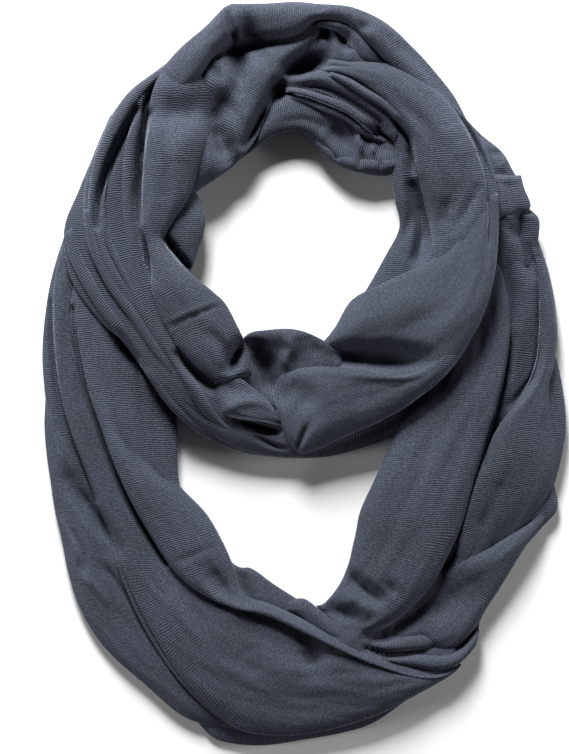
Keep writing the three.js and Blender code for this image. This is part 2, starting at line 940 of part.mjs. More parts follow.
// The pieces, lowest first. Each one is cut by those it lies on.
const piles = [
  {
    name: 'outer_loop',
    layers: [outerLayers, 3],
    folds: [
      bottomFlap,
      rightCorner,
      rightBulge,
      outerLeftLow,
      outerLeftStrip,
      outerInnerLow,
      innerSliver,
      twistedStrip,
      outerFrontPanel,
      outerInnerPanel,
      rightMiddlePanel,
      rightOuterPanel,
      lowerRightUnder,
      lowerRightPanel,
      lowerRightTuck,
      lowerRightRoll,
      rightInnerPanel,
    ],
  },
  { name: 'neck_layers', layers: [neckLayers, 4], folds: [] },
  { name: 'seam_bunch', folds: [seamUpper, seamLower, seamMiddle] },
  { name: 'neck_back', folds: [backBand, backRoll, backPanel, topHollow, archFold, neckRightInner] },
  {
    name: 'neck_pleats',
    folds: [pleatBase, ropeFirst, ropeSecond, pleatPlateau, pleatFirst, pleatSecond, pleatRidge],
  },
  { name: 'neck_left', folds: [leftLower, topInner, leftCover, cornerFlap] },
  { name: 'neck_top', folds: [topOuter] },
  { name: 'neck_front', folds: [frontInner, rightCover, frontUpper, frontLower] },
];

function pileSolid({ layers, folds }, grow = 0) {
  const rings = folds.map((f) => foldRings(f, grow));
  if (layers) rings.push(...layeredRings(...layers, grow));
  return rings.map(solidFromRings).reduce((whole, next) => whole.add(next));
}

const outside = (solid) => solid.decompose().sort((a, b) => b.volume() - a.volume())[0];

const group = new THREE.Group();
const cloth = new THREE.MeshStandardMaterial({ color: clothColour, roughness: clothRoughness, metalness: 0 });

function addMesh(name, solid) {
  const { vertProperties, triVerts } = solid.getMesh();
  const geometry = new THREE.BufferGeometry();
  geometry.setAttribute('position', new THREE.BufferAttribute(vertProperties, 3));
  geometry.setIndex(new THREE.BufferAttribute(triVerts, 1));
  const mesh = new THREE.Mesh(geometry, cloth.clone());
  mesh.name = name;
  group.add(mesh);
}

function slitSolid({ fromX, fromY, toX, toY }) {
  const geometry = new THREE.BoxGeometry(Math.hypot(toX - fromX, toY - fromY), slitWidth, 4 * pileHeight);
  geometry.rotateZ(Math.atan2(toY - fromY, toX - fromX));
  geometry.translate((fromX + toX) / 2, (fromY + toY) / 2, 0);
  return solidFromGeometry(geometry);
}

function partStretches(solid) {
  const parted = slits.map(slitSolid).reduce((rest, slit) => rest.subtract(slit), solid);
  const across = ({ min, max }) => min[0] + max[0];
  return parted
    .decompose()
    .sort((a, b) => b.volume() - a.volume())
    .slice(0, stretches.length)
    .sort((a, b) => across(a.boundingBox()) - across(b.boundingBox()));
}

const lower = [];
for (const pile of piles) {
  let solid = pileSolid(pile);
  for (const below of lower) solid = solid.subtract(below);
  lower.push(pileSolid(pile, restGap));
  if (pile.name === 'outer_loop') partStretches(solid).forEach((part, i) => addMesh(stretches[i], part));
  else addMesh(pile.name, outside(solid));
}

export default group;
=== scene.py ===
# Infinity scarf of fine rib jersey, wound into two loops and laid flat.
# Tables are in millimetres in the scarf's own frame: +X right, +Y to the back of the neck, +Z up.
import math
import bmesh
import bpy
import numpy as np
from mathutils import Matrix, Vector


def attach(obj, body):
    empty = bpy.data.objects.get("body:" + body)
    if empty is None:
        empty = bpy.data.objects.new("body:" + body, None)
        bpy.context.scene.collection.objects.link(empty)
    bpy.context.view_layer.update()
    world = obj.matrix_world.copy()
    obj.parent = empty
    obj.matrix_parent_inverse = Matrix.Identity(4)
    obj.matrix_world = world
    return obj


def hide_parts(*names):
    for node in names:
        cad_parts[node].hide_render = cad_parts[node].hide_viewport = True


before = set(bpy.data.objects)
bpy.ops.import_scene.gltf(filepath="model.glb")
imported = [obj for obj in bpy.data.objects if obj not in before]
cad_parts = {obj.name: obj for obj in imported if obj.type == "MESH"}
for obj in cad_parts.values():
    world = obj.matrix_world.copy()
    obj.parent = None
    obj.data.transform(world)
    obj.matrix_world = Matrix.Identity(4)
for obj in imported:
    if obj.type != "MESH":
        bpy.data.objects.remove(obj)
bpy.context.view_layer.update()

# Camera, straight above the scarf as in the photograph
view = {
    "middle": (-12.6, -2.0, 20.0),  # what the camera looks at
    "distance": 1210.5,
    "lens": 85,
    "sensor": 36,
    "nearest": 50,  # nothing closer than this is drawn
}

lookAt = Vector(view["middle"]) / 1000
cameraData = bpy.data.cameras.new("camera")
cameraData.lens = view["lens"]
cameraData.sensor_width = view["sensor"]
cameraData.clip_start = view["nearest"] / 1000
camera = bpy.data.objects.new("camera", cameraData)
camera.location = lookAt + Vector((0, 0, view["distance"] / 1000))
bpy.context.scene.collection.objects.link(camera)
bpy.context.scene.camera = camera
print("camera set")

# Folds of each piece, from the first laid to the last. A fold has a row for each section: inner rim
# x, y, outer rim x, y, height of the rims, rise of the crest. A narrow fold has a line instead:
# x, y, width, height of the rims, rise of the crest. under: how far its belly hangs below the rims.
plainFold = {
    "tilt": 0,  # how much higher the inner rim is
    "ripple": 0.8,  # size of the small waves
    "bias": 0,  # degrees that the ribs turn
    "ribs": 1.0,  # how deep the ribs look, in bump and in the painted shade of their grooves
    "creases": [],  # (width, depth, line): soft troughs, or ridges where the depth is negative
}
narrowFold = {**plainFold, "ripple": 0.3}

# Hidden layers of the outer loop: inner rim x, y, outer rim x, y
outerLayers = [
    (-112, 88, -142, 88), (-97, 40, -148, 45), (-92, -20, -150, -12), (-87, -72, -133, -76),
    (-66, -112, -110, -136), (-44, -148, -84, -188), (-8, -165, -38, -224), (14, -168, 12, -230),
    (26, -160, 58, -200), (34, -135, 70, -152), (40, -105, 94, -110), (54, -70, 114, -72),
    (72, -35, 124, -36), (88, 5, 130, 6), (98, 50, 132, 52), (104, 92, 122, 94),
]

# Outer loop, left side
outerLeft = {
    "outerLeftLow": {
        "under": 5, "ripple": 1.0, "ribs": 0.3,
        "rows": [
            (-150, 20, -174, 15, 5, 3), (-148, -15, -177, -18, 5, 4), (-143, -45, -177.5, -42, 5, 6),
            (-134, -75, -173.5, -76, 5, 7), (-118, -112, -167, -113, 5, 7), (-100, -145, -157, -152, 5, 7),
            (-84, -168, -139.5, -184, 5, 7), (-66, -190, -109, -213, 5, 7), (-50, -208, -81, -236, 5, 6),
            (-30, -222, -54, -244, 4, 6), (-5, -228, -20, -249, 4, 4),
        ],
        "creases": [
            (3, -2, [(-176, -18), (-168, -48), (-163, -62)]),
            (3.5, -3, [(-163, -78), (-152, -97), (-142, -110), (-131, -121)]),
            (2.5, -2, [(-168, -98), (-160, -113), (-154, -128)]),
            (2.5, 2.5, [(-160, -104), (-152, -122), (-150, -138)]),
            (2.5, -2, [(-152, -138), (-142, -146), (-132, -158)]),
            (3, 2.5, [(-138, -130), (-128, -142), (-118, -154)]),
        ],
    },
    "outerLeftStrip": {
        "under": 7, "tilt": 3,
        "rows": [
            (-148, 116, -156, 116, 9, 3), (-159, 94, -165, 93, 8, 3), (-164, 60, -174, 60, 8, 4),
            (-166, 25, -178.5, 25, 8, 4), (-165, 0, -178.5, 0, 8, 4), (-158, -28, -175, -26, 8, 4),
            (-149, -52, -164, -54, 9, 4), (-141, -75, -154, -76, 9, 3.5), (-130, -98, -142, -100, 8, 3),
            (-120, -118, -128, -120, 7, 2),
        ],
    },
    "outerInnerLow": {
        "under": 8,
        "rows": [
            (-95, 60, -130, 60, 8, 6), (-90, 10, -130, 10, 8, 7), (-86.5, -35, -125, -35, 8, 8),
            (-84.5, -75, -112, -78, 8, 8), (-72, -98, -95, -108, 7, 6),
        ],
    },
    "outerInnerPanel": {
        "under": 10, "tilt": -8,
        "rows": [
            (-115, 85, -152, 85, 12, 4), (-110, 45, -158, 45, 14, 6), (-108, 15, -155, 15, 14, 8),
            (-106, -20, -146, -20, 14, 10), (-103, -55, -134, -55, 14, 11), (-84, -77, -119, -85, 14, 11),
            (-66, -96, -105, -108, 14, 11), (-54, -116, -93, -128, 14, 11), (-47, -133, -78, -143, 15, 10),
            (-43, -146, -60, -154, 16, 7), (-37, -152.5, -43, -160, 17, 5),
            (-22, -157, -27, -163.5, 17, 5), (0, -167, -5, -173, 17, 5), (25, -180, 21, -186, 16, 4),
            (50, -191.5, 46, -197, 14, 4), (75, -201, 73, -206, 13, 3), (91, -203, 91, -207.5, 11, 3),
            (101, -199, 103.5, -203, 9, 2.5), (106, -196, 108.5, -199, 7, 1.5),
        ],
        "creases": [
            (2, 1.5, [(-87, -128), (-60, -117)]),
            (3.5, 4, [(-111, -55), (-97, -69), (-85, -77)]),
            (4, 2, [(-140, 20), (-130, -30), (-112, -60)]),
        ],
    },
}

# Outer loop, the wide panel along the bottom and what lies beside it
outerFront = {
    "bottomFlap": {
        "under": 3,
        "rows": [
            (-60, -222, -72, -241, 3, 2), (-46, -228, -58, -252.5, 3, 3), (-25, -230, -30, -256, 3, 3.5),
            (5, -230, 2, -252, 3, 3.5), (38, -222, 42, -243, 3, 3), (60, -212, 70, -226, 3, 2),
            (82, -204, 88, -210, 3, 1.5),
        ],
    },
    "innerSliver": {
        "under": 7,
        "rows": [
            (-66, -110, -82, -128, 7, 5), (-46.5, -131, -66, -150, 7, 6), (-35, -133.5, -50, -160, 7, 7),
            (-20, -144.5, -34, -166, 7, 7), (-4, -155, -16, -174, 7, 6), (14, -166, 4, -184, 7, 5),
            (32, -178, 24, -192, 7, 4),
        ],
    },
    "twistedStrip": {
        "under": 6,
        "rows": [
            (-12, -156, -14, -163, 11, 2), (0, -153.5, -5, -165, 12, 4), (10, -160, 4, -171, 13, 4),
            (22, -170.5, 17, -180, 13, 4), (36, -179, 32, -186, 12, 3), (50, -184, 48, -190, 11, 2),
        ],
    },
    "outerFrontPanel": {
        "under": 10, "tilt": -3, "ripple": 0.9, "bias": 8, "ribs": 0.55,
        "rows": [
            (-130, 112, -150, 118, 9, 4), (-146, 86, -165, 88, 9, 4), (-146, 50, -171.5, 52, 10, 5),
            (-142, 20, -171, 20, 11, 5.5), (-138, -12, -166.5, -14, 11, 6),
            (-126, -45, -158, -44, 11, 6.5), (-112, -76, -146, -76, 11, 7), (-95, -105, -134, -108, 11, 8),
            (-78, -128, -121, -143, 11, 9), (-60, -142, -103, -178, 11, 10),
            (-40, -152, -78, -215, 10, 11), (-15, -160, -46, -242, 9, 12), (5, -168, -12, -247.5, 8, 12),
            (25, -178, 22, -243, 8, 12), (45, -187, 55, -232, 8, 11), (66, -195, 83, -217, 8, 9),
            (86, -201, 97, -209.5, 7, 6), (98, -199, 105.5, -203.5, 6, 4),
            (103, -197.5, 107.5, -201, 5, 2),
        ],
        "creases": [
            (6, 2.5, [(3, -184), (8, -200)]),
            (8, 1.5, [(-40, -185), (-30, -205)]),
        ],
    },
    "outerRim": {
        "under": 5, "ripple": 0.2,
        "line": [
            (-139, -93, 2.5, 12, 1.5), (-128.5, -122, 3, 13, 2), (-118.5, -150, 3, 13, 2),
            (-103.5, -180, 3, 12.5, 2), (-80, -213, 3, 12, 2), (-50, -238.5, 3, 11, 2),
            (-25, -246.5, 2.5, 10, 1.5),
        ],
    },
}

# Outer loop, right side
outerRight = {
    "lowerRightTuck": {
        "under": 8,
        "line": [
            (46, -190, 4, 8, 3), (60, -194.5, 7, 11.5, 4), (76, -196, 9, 12, 5), (90, -197.5, 10, 12, 5),
            (102, -196, 9, 12, 5), (110.5, -190.5, 7, 11, 4), (116.5, -183, 6, 10, 4),
            (119.5, -175, 4, 9, 3),
        ],
    },
    "rightCorner": {
        "under": 5,
        "rows": [
            (130, -126, 150, -122, 5, 2), (140, -108, 164, -106, 5, 4), (150, -90, 175, -92, 5, 5),
            (152, -70, 172, -72, 5, 3),
        ],
    },
    "rightBulge": {
        "under": 7,
        "rows": [
            (140, -82, 170, -84, 7, 5), (146, -60, 177.5, -58, 7, 7), (150, -30, 181, -32, 7, 8),
            (155, -5, 178, -5, 7, 7), (160, 18, 173, 18, 6, 4),
        ],
    },
    "rightMiddlePanel": {
        "under": 10, "tilt": 1,
        "rows": [
            (114, -60, 140, -48, 6, 3), (122, -22, 152, -16, 7, 4), (130, 10, 164, 8, 7, 4),
            (134, 42, 167, 42, 7, 5), (130, 72, 163, 72, 8, 5), (122, 96, 152, 102, 8, 5),
            (116, 116, 144, 124, 9, 4),
        ],
        "creases": [
            (3.5, 3, [(145, 105), (148, 91), (153, 78), (158, 66)]),
        ],
    },
    "rightOuterPanel": {
        "under": 10, "tilt": 8,
        "rows": [
            (92, -150, 130, -135, 6, 3), (104, -122, 158, -104, 8, 6), (112, -92, 171, -78, 11, 9),
            (121, -64, 174, -54, 12, 11), (132, -38, 171, -28, 13, 11), (149, -14, 169, -8, 14, 9),
            (159, 8, 172.5, 8, 14, 7), (162, 38, 174.5, 34, 12, 6), (161, 66, 170, 67, 10, 5),
            (154, 92, 162, 92, 9, 3), (144, 108, 157, 109, 9, 3),
        ],
        "creases": [
            (2, -2.5, [(172.5, 10), (168, 0), (165, -9), (163, -20), (161.5, -34)]),
            (3, 3, [(171, -82), (165, -92), (160, -100)]),
            (5, 3, [(136, -70), (128, -90), (118, -108)]),
        ],
    },
    "lowerRightUnder": {
        "under": 7,
        "rows": [
            (50, -188, 50, -196, 7, 3), (70, -186, 70, -203, 7, 5), (88, -186, 92, -206, 7, 5),
            (101, -184, 108, -199, 6, 5), (109, -178, 117, -188, 6, 4), (114, -170, 121, -175, 5, 3),
            (116, -164, 121.5, -167, 5, 1.5),
        ],
    },
    "lowerRightPanel": {
        "under": 9,
        "rows": [
            (36, -172, 40, -185, 8, 2), (42, -167, 51, -188, 8, 4), (49, -162, 68, -189, 8, 5),
            (57, -156, 90, -190, 8, 6), (66, -150, 108, -187, 8, 7), (77, -142, 119, -175, 8, 7),
            (89, -135, 126, -161, 8, 7), (104, -127, 135, -147, 9, 8), (124, -120, 146, -129, 10, 8),
            (143, -109, 155, -115, 10, 6), (157, -100, 164, -104, 8, 4), (167, -88, 171, -93, 6, 1.5),
        ],
        "creases": [
            (5, 3, [(76, -168), (88, -152), (100, -136)]),
            (2.5, 2, [(80, -178), (88, -186), (95, -192)]),
            (4, -2, [(104, -184), (116, -170), (126, -154)]),
        ],
    },
    "lowerRightRoll": {
        "under": 8,
        "line": [
            (30, -176, 4, 4, 2), (39, -180.5, 8, 9, 4), (52, -184, 11, 12, 5), (66, -185, 12, 12.5, 5),
            (80, -183.5, 11, 11, 4), (92, -180, 9, 8.5, 3), (101, -176, 5, 5, 2),
        ],
    },
    "rightInnerPanel": {
        "under": 11, "tilt": -3, "ripple": 0.9, "ribs": 0.55,
        "rows": [
            (9, -159.5, 20, -172, 8, 4), (15, -157, 34, -178, 10, 7), (24, -146, 54, -175, 12, 10),
            (30, -133.5, 78, -156, 13, 12), (35, -113, 97, -130, 13, 12), (39, -93, 111, -97, 13, 13),
            (50, -70, 120, -66, 13, 13), (61, -46, 129, -38, 13, 12), (78, -12, 137, -10, 13, 10),
            (90, 28, 142, 34, 12, 7), (98, 65, 138, 64, 11, 5), (102, 92, 128, 90, 10, 4),
        ],
        "creases": [
            (5, 4, [(31, -136), (38, -144), (46, -150), (55, -155)]),
            (3.5, 2.5, [(56, -141), (64, -150)]),
            (6, 4, [(12, -160), (26, -163), (42, -167)]),
        ],
    },
}

# Hidden layers of the neck loop
neckLayers = [
    (86, 108, 128, 108), (79, 140, 121, 148), (68, 170, 106, 178), (38, 190, 77, 208), (2, 190, 33, 240),
    (-22, 188, -18, 248), (-45, 170, -57, 241), (-64, 150, -100, 203), (-79, 125, -134, 160),
    (-84, 100, -144, 122), (-86, 78, -140, 96),
]

# Joining seam, bunched at the right
seamBunch = {
    "seamUpper": {
        "under": 9, "tilt": 2,
        "rows": [
            (120, 126, 149, 129, 13, 3), (117, 140, 143, 140, 14, 5), (113, 152, 136, 152, 14, 5),
            (107, 163, 122, 164, 13, 4), (98, 176, 110, 177, 12, 2),
        ],
        "creases": [
            (2, -2.5, [(134, 139), (139, 148)]),
            (2, 2.5, [(128, 150), (138, 152)]),
            (2, 2, [(120, 160), (124, 168)]),
        ],
    },
    "seamLower": {
        "under": 9, "tilt": 2,
        "rows": [
            (124, 68, 159, 70, 8, 3), (124, 80, 160, 82, 11, 4), (128, 98, 161.5, 97, 14, 5),
            (130, 108, 161, 106.5, 15, 4), (130, 116, 155, 113, 14, 2),
        ],
        "creases": [
            (2, -2, [(134, 107), (146, 109), (159, 106)]),
            (3, 3, [(140, 102), (146, 92)]),
            (2, 2.5, [(150, 104), (153, 94)]),
        ],
    },
    "seamMiddle": {
        "under": 9, "tilt": 2,
        "rows": [
            (126, 104, 151, 108, 18, 3), (127, 114, 155, 115, 19, 4), (126, 126, 151, 126, 19, 4),
            (125, 136, 148.5, 135.5, 18, 3),
        ],
        "creases": [
            (1.5, 2, [(140, 131), (140, 110)]),
            (1.5, -1.5, [(133, 130), (134, 110)]),
            (2, -2, [(130, 132.5), (148, 133)]),
        ],
    },
}

# Back of the neck loop, with the two strips of the hem
neckBack = {
    "gatherRoll": {
        "under": 9, "ribs": 1.2,
        "line": [
            (13, 160, 3, 10, 3), (20, 153, 6, 12, 5), (32, 148, 6, 12, 5), (46, 146, 6, 12, 5),
            (58, 148, 6, 12, 4),
        ],
    },
    "foldEdgeInner": {
        "under": 5,
        "line": [
            (18, 203, 3, 27, 2), (30, 197.5, 5, 28, 3), (42, 190, 6, 28, 3), (54, 183, 6, 28, 3),
            (64, 174.5, 6, 28, 3), (71, 165, 6, 27, 3), (75, 153, 5, 25, 3), (77, 142, 4, 22, 2),
            (79, 134, 3, 18, 1.5),
        ],
    },
    "hemUpper": {
        "under": 2,
        "line": [
            (-15, 195, 4, 21, 1.4), (0, 191, 4.5, 25, 1.6), (12, 187, 5, 26, 1.6),
            (24, 182.5, 5.5, 26, 1.6), (34, 177, 5.5, 26, 1.6), (44, 170, 5, 24, 1.5),
            (52, 165, 4, 17, 1.4),
        ],
    },
    "hemLower": {
        "under": 2, "ribs": 1.2,
        "line": [
            (-14, 189.5, 3.5, 17, 1.4), (0, 186.5, 4, 21, 1.5), (12, 181.5, 5, 22.5, 1.6),
            (24, 176.5, 5, 22.5, 1.6), (33, 171.5, 5, 22, 1.6), (41, 164.5, 5, 21, 1.6),
            (50, 159.5, 4.5, 18, 1.6), (61, 157.5, 4, 13, 1.4),
        ],
    },
    "backRoll": {
        "under": 9, "ribs": 1.2,
        "line": [
            (0, 168, 3, 9, 3), (8, 162, 6, 11, 4), (17, 153.5, 9, 12, 5), (30, 145.5, 11, 13, 6),
            (46, 142.5, 11, 13, 6), (60, 143.5, 9, 13, 5), (72, 147, 7, 13, 4),
        ],
        "creases": [
            (1.5, 2.5, [(24, 156), (22, 146)]),
            (1.5, 2.5, [(38, 150), (37, 139)]),
            (1.5, 2, [(52, 149), (53, 138)]),
        ],
    },
    "archFold": {
        "under": 9,
        "line": [
            (8, 236.5, 3, 25, 2), (14, 237, 4, 26, 3), (22, 236, 6, 26, 4), (30, 232, 9, 25, 5),
            (37, 225, 13, 24, 5), (45, 216.5, 12, 22, 5), (53, 210.5, 5, 21, 2),
        ],
        "creases": [
            (2, 2, [(36, 219), (32, 226), (31, 232)]),
        ],
    },
    "backBand": {
        "under": 11, "tilt": 2, "ribs": 1.2,
        "rows": [
            (66, 150, 74, 172, 12, 4), (61, 137, 62, 166, 11, 6), (45, 136.5, 50, 172, 11, 7),
            (26, 143.5, 34, 182, 12, 8), (12, 158, 18, 190, 13, 8), (-4, 166, 2, 196, 13, 8),
            (-20, 163, -22, 196, 13, 7), (-36, 151.5, -46, 184, 12, 5), (-50, 141, -66, 168, 11, 4),
        ],
        "creases": [
            (2, -5, [(36.5, 165), (38, 158), (40, 151)]),
            (1.6, 2.5, [(34, 168), (35.5, 160)]),
            (2, -4, [(47, 157), (48, 151)]),
            (1.6, -2, [(16, 168), (13.5, 161), (11.5, 155)]),
            (2.5, 1.5, [(-18, 172), (0, 173), (14, 169)]),
        ],
    },
    "backPanel": {
        "under": 10, "tilt": -2,
        "rows": [
            (64, 157, 73, 172, 20, 3), (46, 171, 54, 184, 20, 6), (28, 183, 36, 197, 21, 6),
            (8, 191, 16, 206, 21, 6), (-12, 194, -10, 206, 20, 5), (-30, 188, -34, 206, 18, 4),
        ],
        "creases": [
            (2.5, 4, [(-6, 196), (15, 193), (45, 176), (58, 167)]),
        ],
    },
    "topHollow": {
        "under": 10,
        "rows": [
            (56, 203, 64, 216, 19, 3), (38, 207, 50, 224, 20, 5), (20, 209, 36, 236, 20, 6),
            (6, 218, 14, 240, 19, 4),
        ],
        "creases": [
            (2.5, 2.5, [(14, 233), (18, 226), (19, 215)]),
            (3, 3, [(27, 231), (28.5, 225), (31, 219)]),
        ],
    },
    "neckRightInner": {
        "under": 12, "tilt": -5,
        "rows": [
            (36, 47, 66, 42, 11, 4), (43, 57, 88, 50, 12, 6), (57, 82, 98, 80, 13, 7),
            (66, 101, 100, 103, 13, 7), (63, 119, 96, 124, 14, 7), (61, 138, 90, 144, 15, 7),
            (62, 156, 84, 162, 18, 6), (55, 174, 74, 182, 21, 6), (38, 190, 58, 200, 23, 6),
            (20, 203, 36, 210, 23, 5), (8, 207, 18, 214, 21, 3),
        ],
        "creases": [
            (4, 4, [(70, 150), (74, 128), (74, 108), (64, 86)]),
            (4, 3, [(62, 112), (58, 92), (50, 74)]),
        ],
    },
}

# Pleats that run down the left of the neck loop to its front
neckPleats = {
    "ropeFirst": {
        "under": 9, "ribs": 2.4,
        "line": [
            (-160, 98, 6, 20, 4), (-153, 76, 8, 23, 5), (-138, 50, 9, 25, 5), (-120, 26, 9, 25, 5),
            (-103, 2, 9, 23, 5), (-87, -21, 9, 18, 5), (-66, -39, 8, 12, 5), (-40, -50, 7, 8, 4),
            (-10, -55.5, 5, 6, 3),
        ],
    },
    "ropeSecond": {
        "under": 9, "ribs": 2.4,
        "line": [
            (-146, 112, 6, 24, 4), (-142, 88, 7, 27, 4), (-130, 62, 8, 28, 4), (-113, 38, 8, 28, 5),
            (-97, 14, 8, 27, 5), (-81, -8, 7, 22, 5), (-64, -26, 7, 16, 4), (-42, -41, 6, 11, 4),
            (-16, -51, 5, 8, 3),
        ],
    },
    "pleatSlim": {
        "under": 8, "ribs": 2.4,
        "line": [
            (-112, 186, 4, 24, 4), (-122, 168, 5, 25, 4), (-131, 146, 5, 25, 4), (-136, 120, 5, 26, 4),
            (-134, 98, 5, 27, 4), (-126, 76, 5, 28, 3), (-112, 52, 4, 29, 3),
        ],
    },
    "pleatBase": {
        "under": 12, "ripple": 1.0, "ribs": 2.4,
        "rows": [
            (-100, 170, -132, 178, 8, 5), (-98, 130, -153, 128, 10, 8), (-96, 95, -163, 97, 15, 8),
            (-92, 62, -158, 64, 20, 7), (-85, 38, -139, 37, 22, 7), (-76, 16, -119, 19, 23, 7),
            (-64, -4, -102, -5, 21, 8), (-48, -18, -84, -28, 14, 10), (-28, -28, -58, -46, 10, 10),
            (-4, -32, -26, -56, 8, 9), (20, -30, 12, -57.5, 8, 8), (42, -22, 44, -49.5, 9, 6),
            (58, -12, 63, -42, 11, 5), (72, -2, 80, -32, 12, 4),
        ],
    },
    "pleatPlateau": {
        "under": 10, "ribs": 2.4,
        "rows": [
            (-105, 195, -112, 188, 19, 3), (-113, 165, -125, 164, 20, 3), (-116, 140, -139, 136, 20, 4),
            (-116, 112, -143, 106, 20, 6), (-111, 84, -137, 76, 22, 7), (-100, 56, -121, 46, 25, 7),
            (-87, 30, -103, 20, 26, 6), (-72, 4, -85, -8, 23, 6), (-56, -18, -67, -28, 17, 6),
            (-30, -36, -40, -44, 11, 5), (-6, -44, -14, -51, 8, 4),
        ],
    },
    "pleatFirst": {
        "under": 10, "tilt": 3, "ribs": 2.4,
        "rows": [
            (-84, 208, -91, 212.5, 22, 3), (-104, 192, -113, 196, 20, 4), (-120, 175, -129, 179, 18, 5),
            (-132, 152, -143, 150, 18, 6), (-136, 125, -149.5, 123, 18, 7),
            (-134, 100, -149.5, 102, 20, 7), (-126, 78, -145, 80, 23, 7), (-114, 54, -132, 58, 25, 6),
            (-100, 32, -116, 34, 26, 5), (-86, 8, -103, 10, 24, 5), (-70, -14, -88, -16, 20, 6),
            (-50, -32, -64, -38, 13, 6), (-24, -42, -36, -49, 9, 5), (4, -46, -6, -54, 8, 4),
        ],
    },
    "pleatSecond": {
        "under": 10, "tilt": 2, "ribs": 2.4,
        "rows": [
            (-92, 206, -98, 207, 23, 3), (-108, 189, -118, 191, 24, 4), (-119, 170, -131, 172, 24, 5),
            (-130, 147, -141, 148, 24, 6), (-137, 120, -145.5, 120, 24, 6), (-136, 98, -143.5, 96, 25, 5),
            (-128, 76, -138, 76, 27, 5), (-116, 54, -127, 54, 28, 4), (-102, 34, -112, 32, 28, 3),
        ],
    },
    "pleatRidge": {
        "under": 10, "ribs": 2.4,
        "rows": [
            (-99, 202, -103, 202, 23, 3), (-107, 186, -113, 186, 24, 4), (-110, 165, -119, 164, 24, 5),
            (-112.5, 140, -122, 138, 24, 5), (-112.5, 112, -122, 110, 24, 5), (-108, 84, -118, 82, 25, 5),
            (-101, 56, -111, 54, 27, 5), (-91, 28, -101, 28, 28, 5), (-75, 2, -86, 2, 27, 5),
            (-62, -20, -72, -22, 22, 5), (-46, -37, -54, -40, 15, 4), (-18, -48, -24, -51, 10, 3),
        ],
    },
}

# Left of the neck loop, with the kink and the flap under it
neckLeft = {
    "leftLower": {
        "under": 15,
        "rows": [
            (-78, 134, -104, 138, 15, 4), (-67.5, 112, -102, 116, 17, 8), (-67.5, 98, -102, 98, 18, 9),
            (-72, 82, -100, 80, 17, 8), (-78, 66, -96, 62, 17, 4),
        ],
    },
    "topInner": {
        "under": 13, "tilt": -3,
        "rows": [
            (15, 236, 12, 246, 21, 3), (10, 228, 0, 246, 22, 5), (2, 219, -14, 243, 22, 7),
            (-7, 208, -28, 237, 22, 8), (-17, 194, -50, 225, 22, 8), (-25, 175, -72, 204, 22, 8),
            (-36, 154, -84, 176, 22, 8), (-52, 138, -90, 148, 21, 8), (-72, 124.5, -94, 128, 18, 6),
            (-84, 112, -98, 112, 15, 3),
        ],
        "creases": [
            (9, -3, [(-30, 214), (-32, 192), (-40, 166)]),
            (2, 3, [(-63, 210), (-59, 205), (-56, 199)]),
            (3, -1.5, [(-64, 203), (-60, 190), (-59, 178)]),
        ],
    },
    "leftCover": {
        "under": 13, "tilt": -4,
        "rows": [
            (-72, 212, -86, 213, 23, 3), (-62, 198, -99, 199, 26.5, 6), (-60, 175, -105, 176, 28, 9),
            (-65, 157, -107.5, 154, 29, 10), (-71, 138, -109, 134, 29, 10), (-77, 120, -109.5, 114, 29, 9),
            (-88, 103, -109, 99, 29, 7), (-93, 91, -105, 88, 29, 5), (-84, 77, -103, 73, 29, 7),
            (-74, 66, -102, 57, 29, 9), (-60, 55, -98, 41, 28, 9), (-51.5, 47, -92, 28, 27, 9),
            (-44, 32, -83, 13, 26, 9), (-37.5, 16, -75, 3, 24, 8), (-34, 0, -62, -8, 21, 5),
        ],
        "creases": [
            (2, 3, [(-93, 91), (-86, 81), (-78, 72)]),
            (1.6, 1.5, [(-94, 30), (-75, 39), (-53, 47.5)]),
            (1.6, -1.2, [(-94, 33), (-75, 42), (-54, 50.5)]),
            (6, 3, [(-88, 170), (-92, 140), (-96, 112)]),
            (8, -2, [(-80, 175), (-86, 140)]),
            (4, 3, [(-66, 30), (-56, 20), (-50, 10)]),
        ],
    },
    "cornerFlap": {
        "under": 16, "ribs": 1.2,
        "rows": [
            (-50, 4, -60, -2, 21, 2), (-38, -6, -61, -17, 21, 4), (-27, -15, -58, -27, 20, 6),
            (-19, -24, -46, -31, 19, 6), (-14.5, -31, -28, -32.5, 17, 5), (-11.5, -37, -16, -36, 13, 2),
        ],
        "creases": [
            (5, 2.5, [(-52, -12), (-42, -10), (-32, -13)]),
            (3.2, -3, [(-52, -26), (-44, -20), (-35, -18.5), (-27, -19.5), (-20, -25)]),
        ],
    },
}

# Band round the top of the neck loop
neckTop = {
    "topOuter": {
        "under": 14, "tilt": 3,
        "rows": [
            (124, 96, 133.5, 98, 19, 3), (120, 122, 132.5, 120, 20, 4), (112, 146, 125, 148, 20, 5),
            (98, 168, 113, 170, 20, 6), (84, 184, 102, 190, 21, 7), (70, 198, 86, 210, 22, 8),
            (55, 213, 74, 222, 24, 8), (44, 224, 56, 238, 25, 9), (28, 237, 34, 248, 26, 8),
            (10, 239, 12, 250.5, 27, 9), (-4, 230, -6, 252, 28, 9), (-26, 226, -26, 251, 28, 10),
            (-40, 225, -43, 250.5, 28, 10), (-47, 224, -50.5, 250, 28, 10), (-52, 221, -56, 245.5, 28, 10),
            (-60, 216, -67, 234, 28, 10), (-68, 204, -82, 221, 28, 9), (-78, 192, -93, 210, 27, 7),
            (-90, 181, -101, 201, 25, 4),
        ],
        "creases": [
            (5, 3, [(60, 226), (84, 206), (100, 186)]),
            (4, 3, [(8, 252), (14, 244)]),
            (4, 3, [(42, 246), (44, 236), (36, 232)]),
            (2.5, -2.5, [(-50, 249), (-46, 238), (-42, 228)]),
        ],
    },
}

